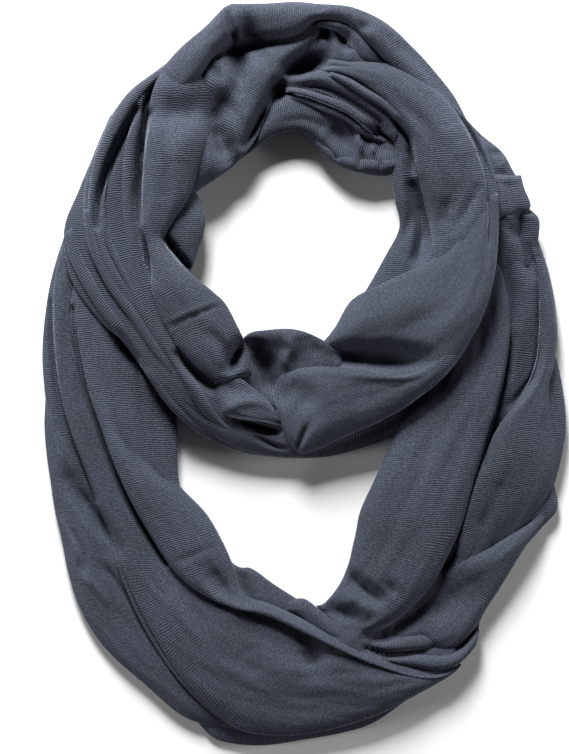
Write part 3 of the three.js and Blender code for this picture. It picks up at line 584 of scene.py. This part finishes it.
# Front and right of the neck loop
neckFront = {
    "frontStrip": {
        "under": 6,
        "line": [
            (-50, -35, 5, 12, 3), (-40, -39, 6, 12, 4), (-28, -44.5, 6, 11, 4), (-16, -50, 5, 9, 3),
            (-7, -54, 3, 7, 2),
        ],
    },
    "coverEdge": {
        "under": 4, "ripple": 0.2,
        "line": [
            (40, 210.5, 3, 24, 1.5), (62, 207, 4, 25, 2), (80, 198, 4.5, 25, 2), (98, 183, 4.5, 25, 2),
            (112, 167, 4.5, 25, 2), (123, 147, 4.5, 25, 2), (129.5, 125, 4.5, 25, 2),
            (130.5, 98, 4.5, 25, 2), (126, 68, 4.5, 25, 2), (117, 40, 4, 24, 2), (104, 15, 3, 22, 2),
        ],
    },
    "frontInner": {
        "under": 16, "tilt": 12,
        "rows": [
            (-48, 14, -46, -14, 14, 4), (-38, 27, -34, -16, 15, 6), (-24, 30, -20, -24, 15, 7),
            (-8, 30.5, -4, -26, 15, 8), (8, 26, 12, -16, 15, 8), (26, 16, 30, -8, 15, 6),
        ],
        "creases": [
            (3.6, -6, [(-12, 27), (-8, 17), (-12, 10), (-10, 4)]),
            (4, 3, [(2, 27), (7, 20), (10, 12)]),
        ],
    },
    "rightCover": {
        "under": 16, "tilt": 3,
        "rows": [
            (84, 50, 118, 44, 22, 5), (88, 78, 130, 66, 25, 8), (86, 103, 132, 96, 25, 10),
            (81, 124, 131, 122, 25, 11), (76, 144, 122, 148, 25, 11), (71, 163, 108, 172, 25, 11),
            (60, 179, 92, 191, 25, 10), (44, 193, 70, 206.5, 25, 8), (24, 202.5, 44, 212, 24, 5),
            (10, 206, 22, 212, 22, 3),
        ],
        "creases": [
            (1.5, -2, [(119, 128), (111, 113), (103, 99), (99, 91)]),
            (4, 3, [(60, 186), (82, 166), (92, 140), (98, 116)]),
            (10, -2, [(100, 170), (112, 145)]),
        ],
    },
    "frontUpper": {
        "under": 22, "tilt": -4,
        "rows": [
            (-4, 7, 0, -12, 19, 3), (8, 16, 14, -14, 20, 6), (21, 31, 34, -14, 21, 9),
            (33, 50.5, 58, -14, 23, 11), (52, 61, 84, -12, 26, 12), (76, 72, 104, 10, 28, 12),
            (92, 81, 119, 34, 29, 11), (104, 97, 128, 62, 29, 9), (112, 111, 131.5, 92, 28, 7),
            (121, 126, 131, 122, 26, 4),
        ],
        "creases": [
            (7.5, 13, [(10, 9), (24, 10), (42, 10), (60, 9), (82, 7)]),
            (8, -2.5, [(30, 36), (56, 42), (84, 54)]),
        ],
    },
    "frontLower": {
        "under": 21, "tilt": 2,
        "rows": [
            (-10, -48, -7, -53, 12, 3), (-15, -34, 0, -54.5, 15, 7), (-20, -14, 10, -51.5, 16, 9),
            (-14, 2, 22, -46, 18, 11), (2, 6, 36, -40, 19, 12), (24, 5, 52, -33, 21, 12),
            (46, 3, 68, -24, 23, 11), (66, 1, 84, -12, 26, 10), (82, 6, 98, 1, 28, 9),
            (92, 20, 111, 19, 28, 8), (104, 38, 122, 42, 25.5, 6), (112, 58, 128, 62, 22, 4),
        ],
        "creases": [
            (7, 3.5, [(-8, -4), (0, -12), (4, -22)]),
            (2.2, 2.5, [(-4, -53), (-1, -44), (4, -34)]),
            (3, -2.5, [(4, 3), (30, 1), (56, -1.5), (76, 0)]),
            (10, 3, [(30, -14), (50, -12), (70, -6)]),
        ],
    },
}

# The pieces: the solids each replaces, the cut of the cloth that shows in metres, what it rests on
stretches = {
    "outerLayersPiece": {
        "nodes": ["outer_left", "outer_bottom", "outer_right"], "cut": (0.19, 0.55),
        "layers": 3, "rows": outerLayers,
    },
    "outerLeft": {
        "nodes": ["outer_left"], "cut": (0.19, 0.23), "on": ["outerLayersPiece"], "folds": outerLeft,
    },
    "outerFront": {
        "nodes": ["outer_bottom"], "cut": (0.17, 0.25), "on": ["outerLayersPiece"],
        "folds": outerFront,
    },
    "outerRight": {
        "nodes": ["outer_right"], "cut": (0.17, 0.29), "on": ["outerLayersPiece"], "folds": outerRight,
    },
    "neckLayersPiece": {
        "nodes": ["neck_layers"], "cut": (0.24, 0.35), "layers": 4, "rows": neckLayers,
    },
    "seamBunch": {
        "nodes": ["seam_bunch"], "cut": (0.08, 0.05), "on": ["outerRight"], "folds": seamBunch,
    },
    "neckBack": {
        "nodes": ["neck_back"], "cut": (0.12, 0.25), "on": ["neckLayersPiece"], "folds": neckBack,
    },
    "neckPleats": {
        "nodes": ["neck_pleats"], "cut": (0.17, 0.29), "on": ["neckLayersPiece", "outerLeft"],
        "folds": neckPleats,
    },
    "neckLeft": {
        "nodes": ["neck_left"], "cut": (0.12, 0.22), "on": ["neckPleats", "neckLayersPiece"],
        "folds": neckLeft,
    },
    "neckTop": {
        "nodes": ["neck_top"], "cut": (0.06, 0.19), "on": ["neckLayersPiece"], "folds": neckTop,
    },
    "neckFront": {
        "nodes": ["neck_front"], "cut": (0.14, 0.3), "on": ["neckPleats", "outerRight"],
        "folds": neckFront,
    },
}

# Hollows pressed into the whole pile: (width, share of the height lost, line)
hollows = [
    # front of the neck loop
    (7, 0.34, [(26, 13), (40, 13), (58, 12), (76, 12)]),
    (16, 0.25, [(-30, 10), (-12, 8), (10, 11)]),
    (7, 0.6, [(-32, 16), (-27, 4), (-24, -6), (-18, -14)]),
    (10, 0.2, [(-14, -10), (-2, -14), (4, -26)]),
    (4.5, 0.5, [(-49, 4), (-46, 11), (-43, 20)]),
    (2.8, 0.6, [(-48, -32.5), (-34, -35.5), (-24, -38), (-17, -39)]),
    (1.8, 0.2, [(-32, -43), (-22, -48), (-13, -51)]),
    (3.4, 0.32, [(-84, 13), (-77, 4), (-70, -3), (-64, -9)]),
    (4, 0.3, [(5, -56), (30, -48), (56, -38), (76, -28)]),
    # top band and the folds under it
    (5.5, 0.46, [(-47, 223), (-43.5, 209), (-42, 194)]),
    (6.5, 0.46, [(-60, 172), (-56, 158), (-51, 146)]),
    (11, 0.34, [(-62, 181), (-54, 182), (-46, 186)]),
    (3, 0.24, [(-58, 216), (-50, 220), (-30, 224), (-6, 227.5), (6, 234)]),
    (5.5, 0.78, [(-8, 206), (1, 210), (11, 213)]),
    (5, 0.7, [(-19, 190), (-13, 196)]),
    (3.5, 0.4, [(-24, 184), (-31, 170), (-39, 156)]),
    (3.5, 0.2, [(13, 233), (17, 228)]),
    (4, 0.2, [(27, 230), (29, 223)]),
    (18, 0.42, [(-45, 224), (-36, 225), (-26, 228)]),
    (2.2, 0.2, [(-51, 251), (-49.5, 238), (-47, 226)]),
    (12, 0.28, [(-97, 178), (-84, 176), (-70, 178)]),
    # back band
    (6, 0.3, [(17, 168), (25, 163), (33, 157)]),
    (5, 0.16, [(42, 161), (50, 156), (60, 154)]),
    (3, 0.15, [(49, 169), (57, 163)]),
    # right of the neck loop
    (1.8, 0.16, [(108, 172), (117, 155), (123.5, 136), (126, 112), (124.5, 88)]),
    (2.2, 0.14, [(101, 96), (110, 111), (118, 126)]),
    (8, 0.16, [(101, 120), (96, 108), (93, 97)]),
    (5, 0.72, [(76.5, 128), (81, 111), (82.5, 95), (79, 80)]),
    (1.8, 0.4, [(64, 170), (71, 160), (74, 148), (75.5, 138)]),
    # pleats at the left
    (2.6, 0.55, [(-105, 176), (-109.5, 152), (-111.8, 125), (-111.5, 104)]),
    (2.6, 0.2, [(-111, 100), (-107.5, 84), (-103, 66)]),
    (2.6, 0.36, [(-113, 179), (-121, 164), (-128, 149), (-134, 134), (-138, 118), (-139, 100)]),
    # outer loop, left and bottom
    (7, 0.6, [(-158, -74), (-149, -89), (-139, -104), (-129, -118)]),
    (1.9, 0.46, [
        (-157, 45), (-154, 22), (-150, 0), (-146, -18), (-139, -37), (-130, -62), (-119, -87),
        (-107, -109), (-94, -129),
    ]),
    (1.9, 0.46, [
        (-172.5, 50), (-171.5, 20), (-169, -5), (-164.5, -27), (-157, -50), (-149, -69), (-142, -86),
    ]),
    (3.5, 0.35, [(-45, -133), (-38, -154)]),
    (7, 0.28, [(-64, -132), (-58, -141), (-51, -151)]),
    (7, 0.22, [(5, -186), (8, -200)]),
    (16, 0.16, [(-40, -228), (0, -232), (40, -226)]),
    (8, 0.22, [(12, -157), (24, -162), (36, -169)]),
    # ropes at the left
    (5, 0.3, [(-124, 24), (-118, 14), (-110, 4)]),
    # outer loop, right
    (3.4, 0.3, [(148, 107), (149, 96), (153, 84), (158, 68)]),
    (4.5, 0.28, [(141, 66), (145, 50), (145, 36)]),
    (2.2, 0.25, [(144, 26), (141.5, 8), (138, -8), (134, -24)]),
    (2.4, 0.3, [
        (161.5, 80), (162.5, 60), (163, 40), (162.5, 20), (160, 5), (156, -5), (149, -14), (141, -22),
    ]),
    (1.8, 0.15, [(132, -32), (129, -41), (126, -52), (123.5, -64)]),
    (5.5, 0.32, [(28, -133), (38, -144), (49, -151)]),
    (4, 0.4, [(103, -120), (101, -128), (96, -135)]),
    (11, 0.4, [(84, -165), (96, -157), (108, -143)]),
    # kink at the left of the neck hole
    (2, 0.6, [(-93, 92), (-86, 82), (-78.5, 73)]),
    # roll at the lower right
    (2.0, 0.45, [(42, -187), (54, -191), (68, -191), (82, -189.5)]),
    (5, 0.45, [(45, -180), (56, -177), (68, -171), (80, -160)]),
    (1.8, 0.4, [(106, -190), (111, -185), (117, -178), (121, -171)]),
]

pressing = {
    "lineSteps": 8,  # straight steps that stand for the curve between two points of a line
    "creaseEnd": 0.2,  # share of a crease over which it fades at each end
    "creaseLeast": 0.35,  # share of its depth that is left at the ends
    "hollowEnd": 0.3,  # the same two for a hollow
    "hollowLeast": 0.5,
    "hollowReach": 3,  # in widths, how far from its line a hollow is felt
    "mostLost": 0.9,  # share of the height that hollows take together at most
}


def alongSpline(points, at):
    # smooth curve through the rows; at counts in rows
    padded = np.vstack([2 * points[0] - points[1], points, 2 * points[-1] - points[-2]])
    i = np.clip(at.astype(int), 0, len(points) - 2)
    t = (at - i)[:, None]
    p0, p1, p2, p3 = (padded[i + k] for k in range(4))
    return 0.5 * (
        2 * p1 + (p2 - p0) * t + (2 * p0 - 5 * p1 + 4 * p2 - p3) * t ** 2
        + (3 * p1 - p0 - 3 * p2 + p3) * t ** 3
    )


def nearLine(xy, line):
    # distance to a line, and how far along it, from 0 to 1
    line = np.array(line, float)
    at = np.linspace(0, len(line) - 1, pressing["lineSteps"] * (len(line) - 1) + 1)
    curve = alongSpline(line, at) if len(line) > 2 else line[0] + (line[1] - line[0]) * at[:, None]
    best = np.full(len(xy), np.inf)
    where = np.zeros(len(xy))
    for k in range(len(curve) - 1):
        step = curve[k + 1] - curve[k]
        share = np.clip(((xy - curve[k]) @ step) / (step @ step), 0, 1)
        away = np.linalg.norm(xy - curve[k] - share[:, None] * step, axis=1)
        closer = away < best
        best[closer] = away[closer]
        where[closer] = (k + share[closer]) / (len(curve) - 1)
    return best, where


def fadeOut(where, end):
    # 1 along the middle of a line, falling to 0 at its ends
    return np.clip(np.minimum(where, 1 - where) / end, 0, 1)


def pressed(xy, creases):
    # depth of the creases at each point
    depth = np.zeros(len(xy))
    for width, deep, line in creases:
        away, where = nearLine(xy, line)
        fade = fadeOut(where, pressing["creaseEnd"])
        fade = pressing["creaseLeast"] + (1 - pressing["creaseLeast"]) * fade * fade * (3 - 2 * fade)
        depth += deep * fade * np.exp(-(away / width) ** 2)
    return depth


def sunk(xy, z):
    # lay the pile down along the hollows, in the same share at every height
    lost = np.zeros(len(xy))
    for width, share, line in hollows:
        corners = np.array(line, float)
        reach = pressing["hollowReach"] * width
        near = np.all((xy > corners.min(0) - reach) & (xy < corners.max(0) + reach), axis=1)
        if near.any():
            away, where = nearLine(xy[near], line)
            fade = fadeOut(where, pressing["hollowEnd"])
            fade = pressing["hollowLeast"] + (1 - pressing["hollowLeast"]) * fade
            lost[near] += share * fade * np.exp(-(away / width) ** 2)
    return z * (1 - np.minimum(lost, pressing["mostLost"]))


waves = {
    "sizes": ((31, 210), (19, 130), (12, 90), (7.5, 60)),  # across and along the fold
    "fading": 0.8,  # how quickly narrower waves get lower
    "bend": 0.9,  # how far a wave wanders from a straight run, in radians
    "bendLength": 0.7,  # share of the wave's length
    "calming": 3,  # the sum is divided by this
}


def ripples(across, along, seed, size):
    # long uneven ripples that run with the fold
    chance = np.random.default_rng(seed)
    total = np.zeros(np.broadcast(across, along).shape)
    widest = waves["sizes"][0][0]
    for wide, long in waves["sizes"]:
        for lean in (-1, 1):
            start, bendStart = chance.uniform(0, 2 * math.pi, 2)
            bend = np.sin(2 * math.pi * along / (long * waves["bendLength"]) + bendStart)
            total += (wide / widest) ** waves["fading"] * np.sin(
                2 * math.pi * (across / wide + lean * along / long) + start + waves["bend"] * bend
            )
    return size * total / waves["calming"]


mesh = {
    "alongStep": 2.0,  # spacing of the sections along a fold
    "acrossStep": 1.4,  # spacing of the points over a fold
    "fewestOver": 18,  # steps over a narrow fold
    "mostOver": 96,  # steps over a wide fold
    "fewestUnder": 8,  # steps under the belly
    "underShare": 4,  # the belly has one step for this many over the top
    "roundness": 2.15,  # superellipse exponent of a section
    "endTaper": 5.0,  # a fold closes over this length at its ends
    "leastRise": 0.5,  # a crest stands at least this far over its rims
    "rimWobble": 0.6,  # share of the ripple that moves the rims sideways
    "wobbleSeed": 500,  # added to the seed, so that rims and crests ripple apart
    "floorGap": 0.15,  # the cloth stays this far above the table
    "weld": 0.02,  # points closer than this become one
}


def stripRows(line):
    # the rows of a narrow fold
    line = np.array(line, float)
    way = np.gradient(line[:, :2], axis=0)
    way /= np.linalg.norm(way, axis=1)[:, None]
    side = np.stack([-way[:, 1], way[:, 0]], 1) * line[:, 2:3] / 2
    return np.hstack([line[:, :2] - side, line[:, :2] + side, line[:, 3:]])


def sectionPlaces(rows):
    # where the sections lie, counted in rows
    middle = (rows[:, :2] + rows[:, 2:4]) / 2
    spans = np.linalg.norm(np.diff(middle, axis=0), axis=1)
    steps = np.maximum(2, np.ceil(spans / mesh["alongStep"])).astype(int)
    places = [i + np.arange(n) / n for i, n in enumerate(steps)]
    return np.concatenate(places + [[len(rows) - 1.0]])


def sectionShape(widest):
    # place across, 1 at the outer rim and -1 at the inner, and height, 1 at the crest, -1 below
    over = int(np.clip(widest / mesh["acrossStep"], mesh["fewestOver"], mesh["mostOver"]))
    under = max(mesh["fewestUnder"], over // mesh["underShare"])
    angle = np.concatenate([
        np.linspace(0, math.pi, over + 1), math.pi + np.linspace(0, math.pi, under + 1)[1:]
    ])
    power = 2 / mesh["roundness"]
    flat = np.sign(np.cos(angle)) * np.abs(np.cos(angle)) ** power
    rise = np.sign(np.sin(angle)) * np.abs(np.sin(angle)) ** power
    rise[np.abs(np.sin(angle)) < 1e-9] = 0
    return flat, rise, over // 2


def clothMesh(name, places, cloth, ribs):
    # a grid of points in millimetres with its cloth coordinates and the depth of its ribs, which also sets
    # how strong the painted shade in their grooves is
    alongCount, aroundCount = places.shape[:2]
    bm = bmesh.new()
    bmesh.ops.create_grid(bm, x_segments=alongCount - 1, y_segments=aroundCount - 1, size=1)
    sheet = bpy.data.meshes.new(name)
    bm.to_mesh(sheet)
    bm.free()
    flat = np.empty(len(sheet.vertices) * 3)
    sheet.vertices.foreach_get("co", flat)
    flat = (flat.reshape(-1, 3) + 1) / 2
    i = np.rint(flat[:, 0] * (alongCount - 1)).astype(int)
    j = np.rint(flat[:, 1] * (aroundCount - 1)).astype(int)
    sheet.vertices.foreach_set("co", (places[i, j] / 1000).ravel())
    corner = np.empty(len(sheet.loops), int)
    sheet.loops.foreach_get("vertex_index", corner)
    sheet.uv_layers.new(name="cloth").data.foreach_set("uv", cloth[i, j][corner].ravel())
    depth = sheet.attributes.new("ribDepthAndShade", "FLOAT", "POINT")
    depth.data.foreach_set("value", np.full(len(sheet.vertices), ribs))
    return sheet


def foldMesh(name, fold, seed):
    if "line" in fold:
        fold = {**narrowFold, **fold}
        rows = stripRows(fold["line"])
    else:
        fold = {**plainFold, **fold}
        rows = np.array(fold["rows"], float)
    at = sectionPlaces(rows)
    inner = alongSpline(rows[:, :2], at)
    outer = alongSpline(rows[:, 2:4], at)
    rest, crown = alongSpline(rows[:, 4:], at).T
    crown = np.maximum(crown, mesh["leastRise"])
    centre = (inner + outer) / 2
    run = np.concatenate([[0], np.cumsum(np.linalg.norm(np.diff(centre, axis=0), axis=1))])
    half = np.linalg.norm(outer - inner, axis=1) / 2
    flat, rise, crest = sectionShape(2 * half.max())

    # both ends close to a soft edge
    near = np.minimum(run, run[-1] - run) / mesh["endTaper"]
    close = np.sqrt(1 - (1 - np.clip(near, 0, 1)) ** 2)

    x = centre[:, 0:1] + (outer - inner)[:, 0:1] / 2 * flat
    y = centre[:, 1:2] + (outer - inner)[:, 1:2] / 2 * flat
    lean = -fold["tilt"] / 2 * flat[None, :]
    lift = np.where(rise > 0, crown[:, None] * rise, fold["under"] * rise) * close[:, None]
    z = rest[:, None] + lean + lift
    dent = pressed(np.stack([x.ravel(), y.ravel()], 1), fold["creases"]).reshape(x.shape)
    across = half[:, None] * flat[None, :]
    over = np.clip(rise, 0, 1) * close[:, None]
    z = z - over * dent
    z = z + over * ripples(across, run[:, None], seed, fold["ripple"])
    wobbleSize = fold["ripple"] * mesh["rimWobble"]
    wobble = ripples(np.zeros_like(z), run[:, None], seed + mesh["wobbleSeed"], wobbleSize)
    side = (outer - inner) / (2 * half[:, None])
    x = x + side[:, 0:1] * wobble * flat
    y = y + side[:, 1:2] * wobble * flat
    z = sunk(np.stack([x.ravel(), y.ravel()], 1), z.ravel()).reshape(z.shape)
    z = np.maximum(z, mesh["floorGap"])

    # cloth coordinates in millimetres: around the fold from its crest, and along it
    girth = np.zeros_like(x)
    girth[:, 1:] = np.cumsum(np.sqrt(np.diff(x) ** 2 + np.diff(y) ** 2 + np.diff(z) ** 2), axis=1)
    girth -= girth[:, crest:crest + 1]
    bias = math.radians(fold["bias"])
    u = girth * math.cos(bias) + run[:, None] * math.sin(bias)
    v = run[:, None] * math.cos(bias) - girth * math.sin(bias)
    return clothMesh(name, np.stack([x, y, z], 2), np.stack([u, v], 2), fold["ribs"])


layer = {
    "inset": 1.8,  # a hidden layer lies this much further in than the one below
    "pitch": 5.5,  # height from one layer to the next
    "half": 3.3,  # half of a layer's thickness
    "ripple": 0.9,
}


def layerFold(pile, level):
    # one hidden layer of a pile
    rows = []
    for innerX, innerY, outerX, outerY in pile:
        side = Vector((outerX - innerX, outerY - innerY)).normalized() * level * layer["inset"]
        rows.append((
            innerX + side.x, innerY + side.y, outerX - side.x, outerY - side.y,
            (level + 0.5) * layer["pitch"], layer["half"],
        ))
    return {"under": layer["half"], "ripple": layer["ripple"], "rows": rows}


def addStretch(name, stretch, seed):
    if "layers" in stretch:
        levels = range(stretch["layers"])
        folds = {f"layer{level}": layerFold(stretch["rows"], level) for level in levels}
    else:
        folds = stretch["folds"]
    bm = bmesh.new()
    for k, (foldName, fold) in enumerate(folds.items()):
        sheet = foldMesh(foldName, fold, seed + k)
        bm.from_mesh(sheet)
        bpy.data.meshes.remove(sheet)
    bmesh.ops.remove_doubles(bm, verts=bm.verts, dist=mesh["weld"] / 1000)
    openEnds = [edge for edge in bm.edges if edge.is_boundary]
    bmesh.ops.holes_fill(bm, edges=openEnds, sides=0)
    bmesh.ops.recalc_face_normals(bm, faces=bm.faces)
    data = bpy.data.meshes.new(name)
    bm.to_mesh(data)
    bm.free()
    data.shade_smooth()
    piece = bpy.data.objects.new(name, data)
    bpy.context.scene.collection.objects.link(piece)
    data.materials.append(jersey)
    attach(piece, "root")
    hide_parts(*stretch["nodes"])
    shown = sum(face.area for face in data.polygons) / 2
    print("piece", name, "faces", len(data.polygons), "cloth", round(shown, 4))


def linear(hexColour):
    out = []
    for i in (1, 3, 5):
        c = int(hexColour[i:i + 2], 16) / 255
        out.append(c / 12.92 if c <= 0.04045 else ((c + 0.055) / 1.055) ** 2.4)
    return (*out, 1.0)


def addNode(tree, kind, settings=None, links=None):
    # one node with its settings, and its inputs joined to other nodes' outputs
    node = tree.nodes.new(kind)
    for key, value in (settings or {}).items():
        if key in node.inputs:
            node.inputs[key].default_value = value
        else:
            setattr(node, key, value)
    for key, source in (links or {}).items():
        tree.links.new(source, node.inputs[key])
    return node


def addMath(tree, operation, *inputs):
    # each input is a number or another node's output
    node = addNode(tree, "ShaderNodeMath", {"operation": operation})
    for k, value in enumerate(inputs):
        if isinstance(value, (int, float)):
            node.inputs[k].default_value = value
        else:
            tree.links.new(value, node.inputs[k])
    return node.outputs[0]


def addNoise(tree, place, scale, detail):
    settings = {"noise_dimensions": "2D", "Scale": scale, "Detail": detail}
    return addNode(tree, "ShaderNodeTexNoise", settings, {"Vector": place}).outputs["Fac"]


def newMaterial(name, settings, links=None):
    # a Principled surface; links adds the nodes of a pattern and says which inputs they feed
    material = bpy.data.materials.new(name)
    material.use_nodes = True
    tree = material.node_tree
    tree.nodes.clear()
    out = addNode(tree, "ShaderNodeOutputMaterial")
    joined = links(tree) if links else {}
    surface = addNode(tree, "ShaderNodeBsdfPrincipled", settings, joined)
    tree.links.new(surface.outputs["BSDF"], out.inputs["Surface"])
    return material


# Fine rib jersey. The ribs give thin light and dark lines from their bump and from painted shade in the
# grooves;
# the short fibres catch the light at the turned edges. Scales and pitches are for cloth coordinates in
# millimetres.
knit = {
    "ribPitch": 1.5,  # one rib and one groove
    "stitchPitch": 1.1,
    "stitchShare": 0.3,  # how far stitches stand out beside the ribs, in bump and in painted shade
    "drift": (0.045, 2.0, 5.0),  # scale, detail and millimetres by which ribs wander
    "fibre": (0.55, 3.0),  # scale and detail of the mottled yarn
    "wear": (0.02, 3.0, 0.5),  # scale, detail and strength of the wide light and dark patches
    # share of the rib and stitch pattern in the colour: painted shade that makes the grooves darker
    "ribShadeTone": 0.22,
    # colour of the painted shade in the rib grooves, and where the ramp reaches it
    "grooveShade": "#2a2e35",
    "grooveShadeAt": 0.2,
    "lit": "#484c5a",
    "litAt": 0.8,
    "bump": {"Strength": 0.5, "Distance": 0.00035},
    "finish": {
        "Roughness": 0.9, "Specular IOR Level": 0.15, "Sheen Weight": 0.65,
        "Sheen Roughness": 0.25, "Sheen Tint": linear("#b9c2d2"),
    },
}


def knitPattern(tree):
    cloth = addNode(tree, "ShaderNodeUVMap", {"uv_map": "cloth"}).outputs["UV"]
    axes = addNode(tree, "ShaderNodeSeparateXYZ", links={"Vector": cloth})
    driftScale, driftDetail, driftSize = knit["drift"]
    drift = addNoise(tree, cloth, driftScale, driftDetail)
    shift = addMath(tree, "MULTIPLY_ADD", drift, driftSize, axes.outputs["Y"])
    rib = addMath(tree, "SINE", addMath(tree, "MULTIPLY", shift, 2 * math.pi / knit["ribPitch"]))
    loops = addMath(tree, "MULTIPLY", axes.outputs["X"], 2 * math.pi / knit["stitchPitch"])
    stitch = addMath(tree, "SINE", loops)
    even = addMath(tree, "MULTIPLY_ADD", stitch, knit["stitchShare"], rib)
    # the rib depth sets both the bump and how much painted shade the grooves get
    depth = addNode(tree, "ShaderNodeAttribute", {"attribute_name": "ribDepthAndShade"})
    raised = addMath(tree, "MULTIPLY", even, depth.outputs["Fac"])
    fibre = addNoise(tree, cloth, *knit["fibre"])
    wearScale, wearDetail, wearSize = knit["wear"]
    wear = addNoise(tree, cloth, wearScale, wearDetail)
    # the rib pattern paints shade into the colour, so the grooves come out darker
    mixed = addMath(tree, "MULTIPLY_ADD", raised, knit["ribShadeTone"], fibre)
    patches = addMath(tree, "MULTIPLY_ADD", wear, wearSize, -wearSize / 2)
    tone = addMath(tree, "ADD", mixed, patches)
    ramp = addNode(tree, "ShaderNodeValToRGB", links={"Fac": tone})
    dark, light = ramp.color_ramp.elements
    dark.position = knit["grooveShadeAt"]
    dark.color = linear(knit["grooveShade"])
    light.position = knit["litAt"]
    light.color = linear(knit["lit"])
    bump = addNode(tree, "ShaderNodeBump", knit["bump"], {"Height": raised})
    return {"Base Color": ramp.outputs["Color"], "Normal": bump.outputs["Normal"]}


jersey = newMaterial("ribJersey", knit["finish"], knitPattern)
seedStep = 40  # more than the folds of any stretch, so that no two folds ripple alike
for number, (name, stretch) in enumerate(stretches.items()):
    addStretch(name, stretch, seedStep * number)

# Matt white table top, in metres
table = {
    "size": 4,
    "finish": {"Base Color": linear("#f4f4f3"), "Roughness": 0.8, "Specular IOR Level": 0.1},
}


def addTable():
    bm = bmesh.new()
    bmesh.ops.create_grid(bm, x_segments=1, y_segments=1, size=table["size"])
    data = bpy.data.meshes.new("tableTop")
    bm.to_mesh(data)
    bm.free()
    tableTop = bpy.data.objects.new("tableTop", data)
    bpy.context.scene.collection.objects.link(tableTop)
    data.materials.append(newMaterial("whiteTable", table["finish"]))


addTable()

# Soft boxes in metres and watts: a strong one behind the neck and weaker ones at both sides
lamps = {
    "back": {"place": (-0.24, 1.3, 0.76), "size": 0.5, "power": 64},
    "left": {"place": (-1.6, -0.3, 0.38), "size": 0.5, "power": 16},
    "right": {"place": (1.6, 0.0, 0.38), "size": 0.5, "power": 16},
}
room = {"Color": (1, 1, 1, 1), "Strength": 0.035}  # the same light from every side


def addLamp(name, place, size, power):
    data = bpy.data.lights.new(name, "AREA")
    data.size = size
    data.energy = power
    lamp = bpy.data.objects.new(name, data)
    lamp.location = place
    lamp.rotation_euler = (Vector((0, 0, 0)) - lamp.location).to_track_quat("-Z", "Y").to_euler()
    bpy.context.scene.collection.objects.link(lamp)


for name, lamp in lamps.items():
    addLamp(name, **lamp)
world = bpy.data.worlds.new("room")
bpy.context.scene.world = world
world.use_nodes = True
for name, value in room.items():
    world.node_tree.nodes["Background"].inputs[name].default_value = value
bpy.context.scene.view_settings.view_transform = "Standard"
print("table and lamps set")
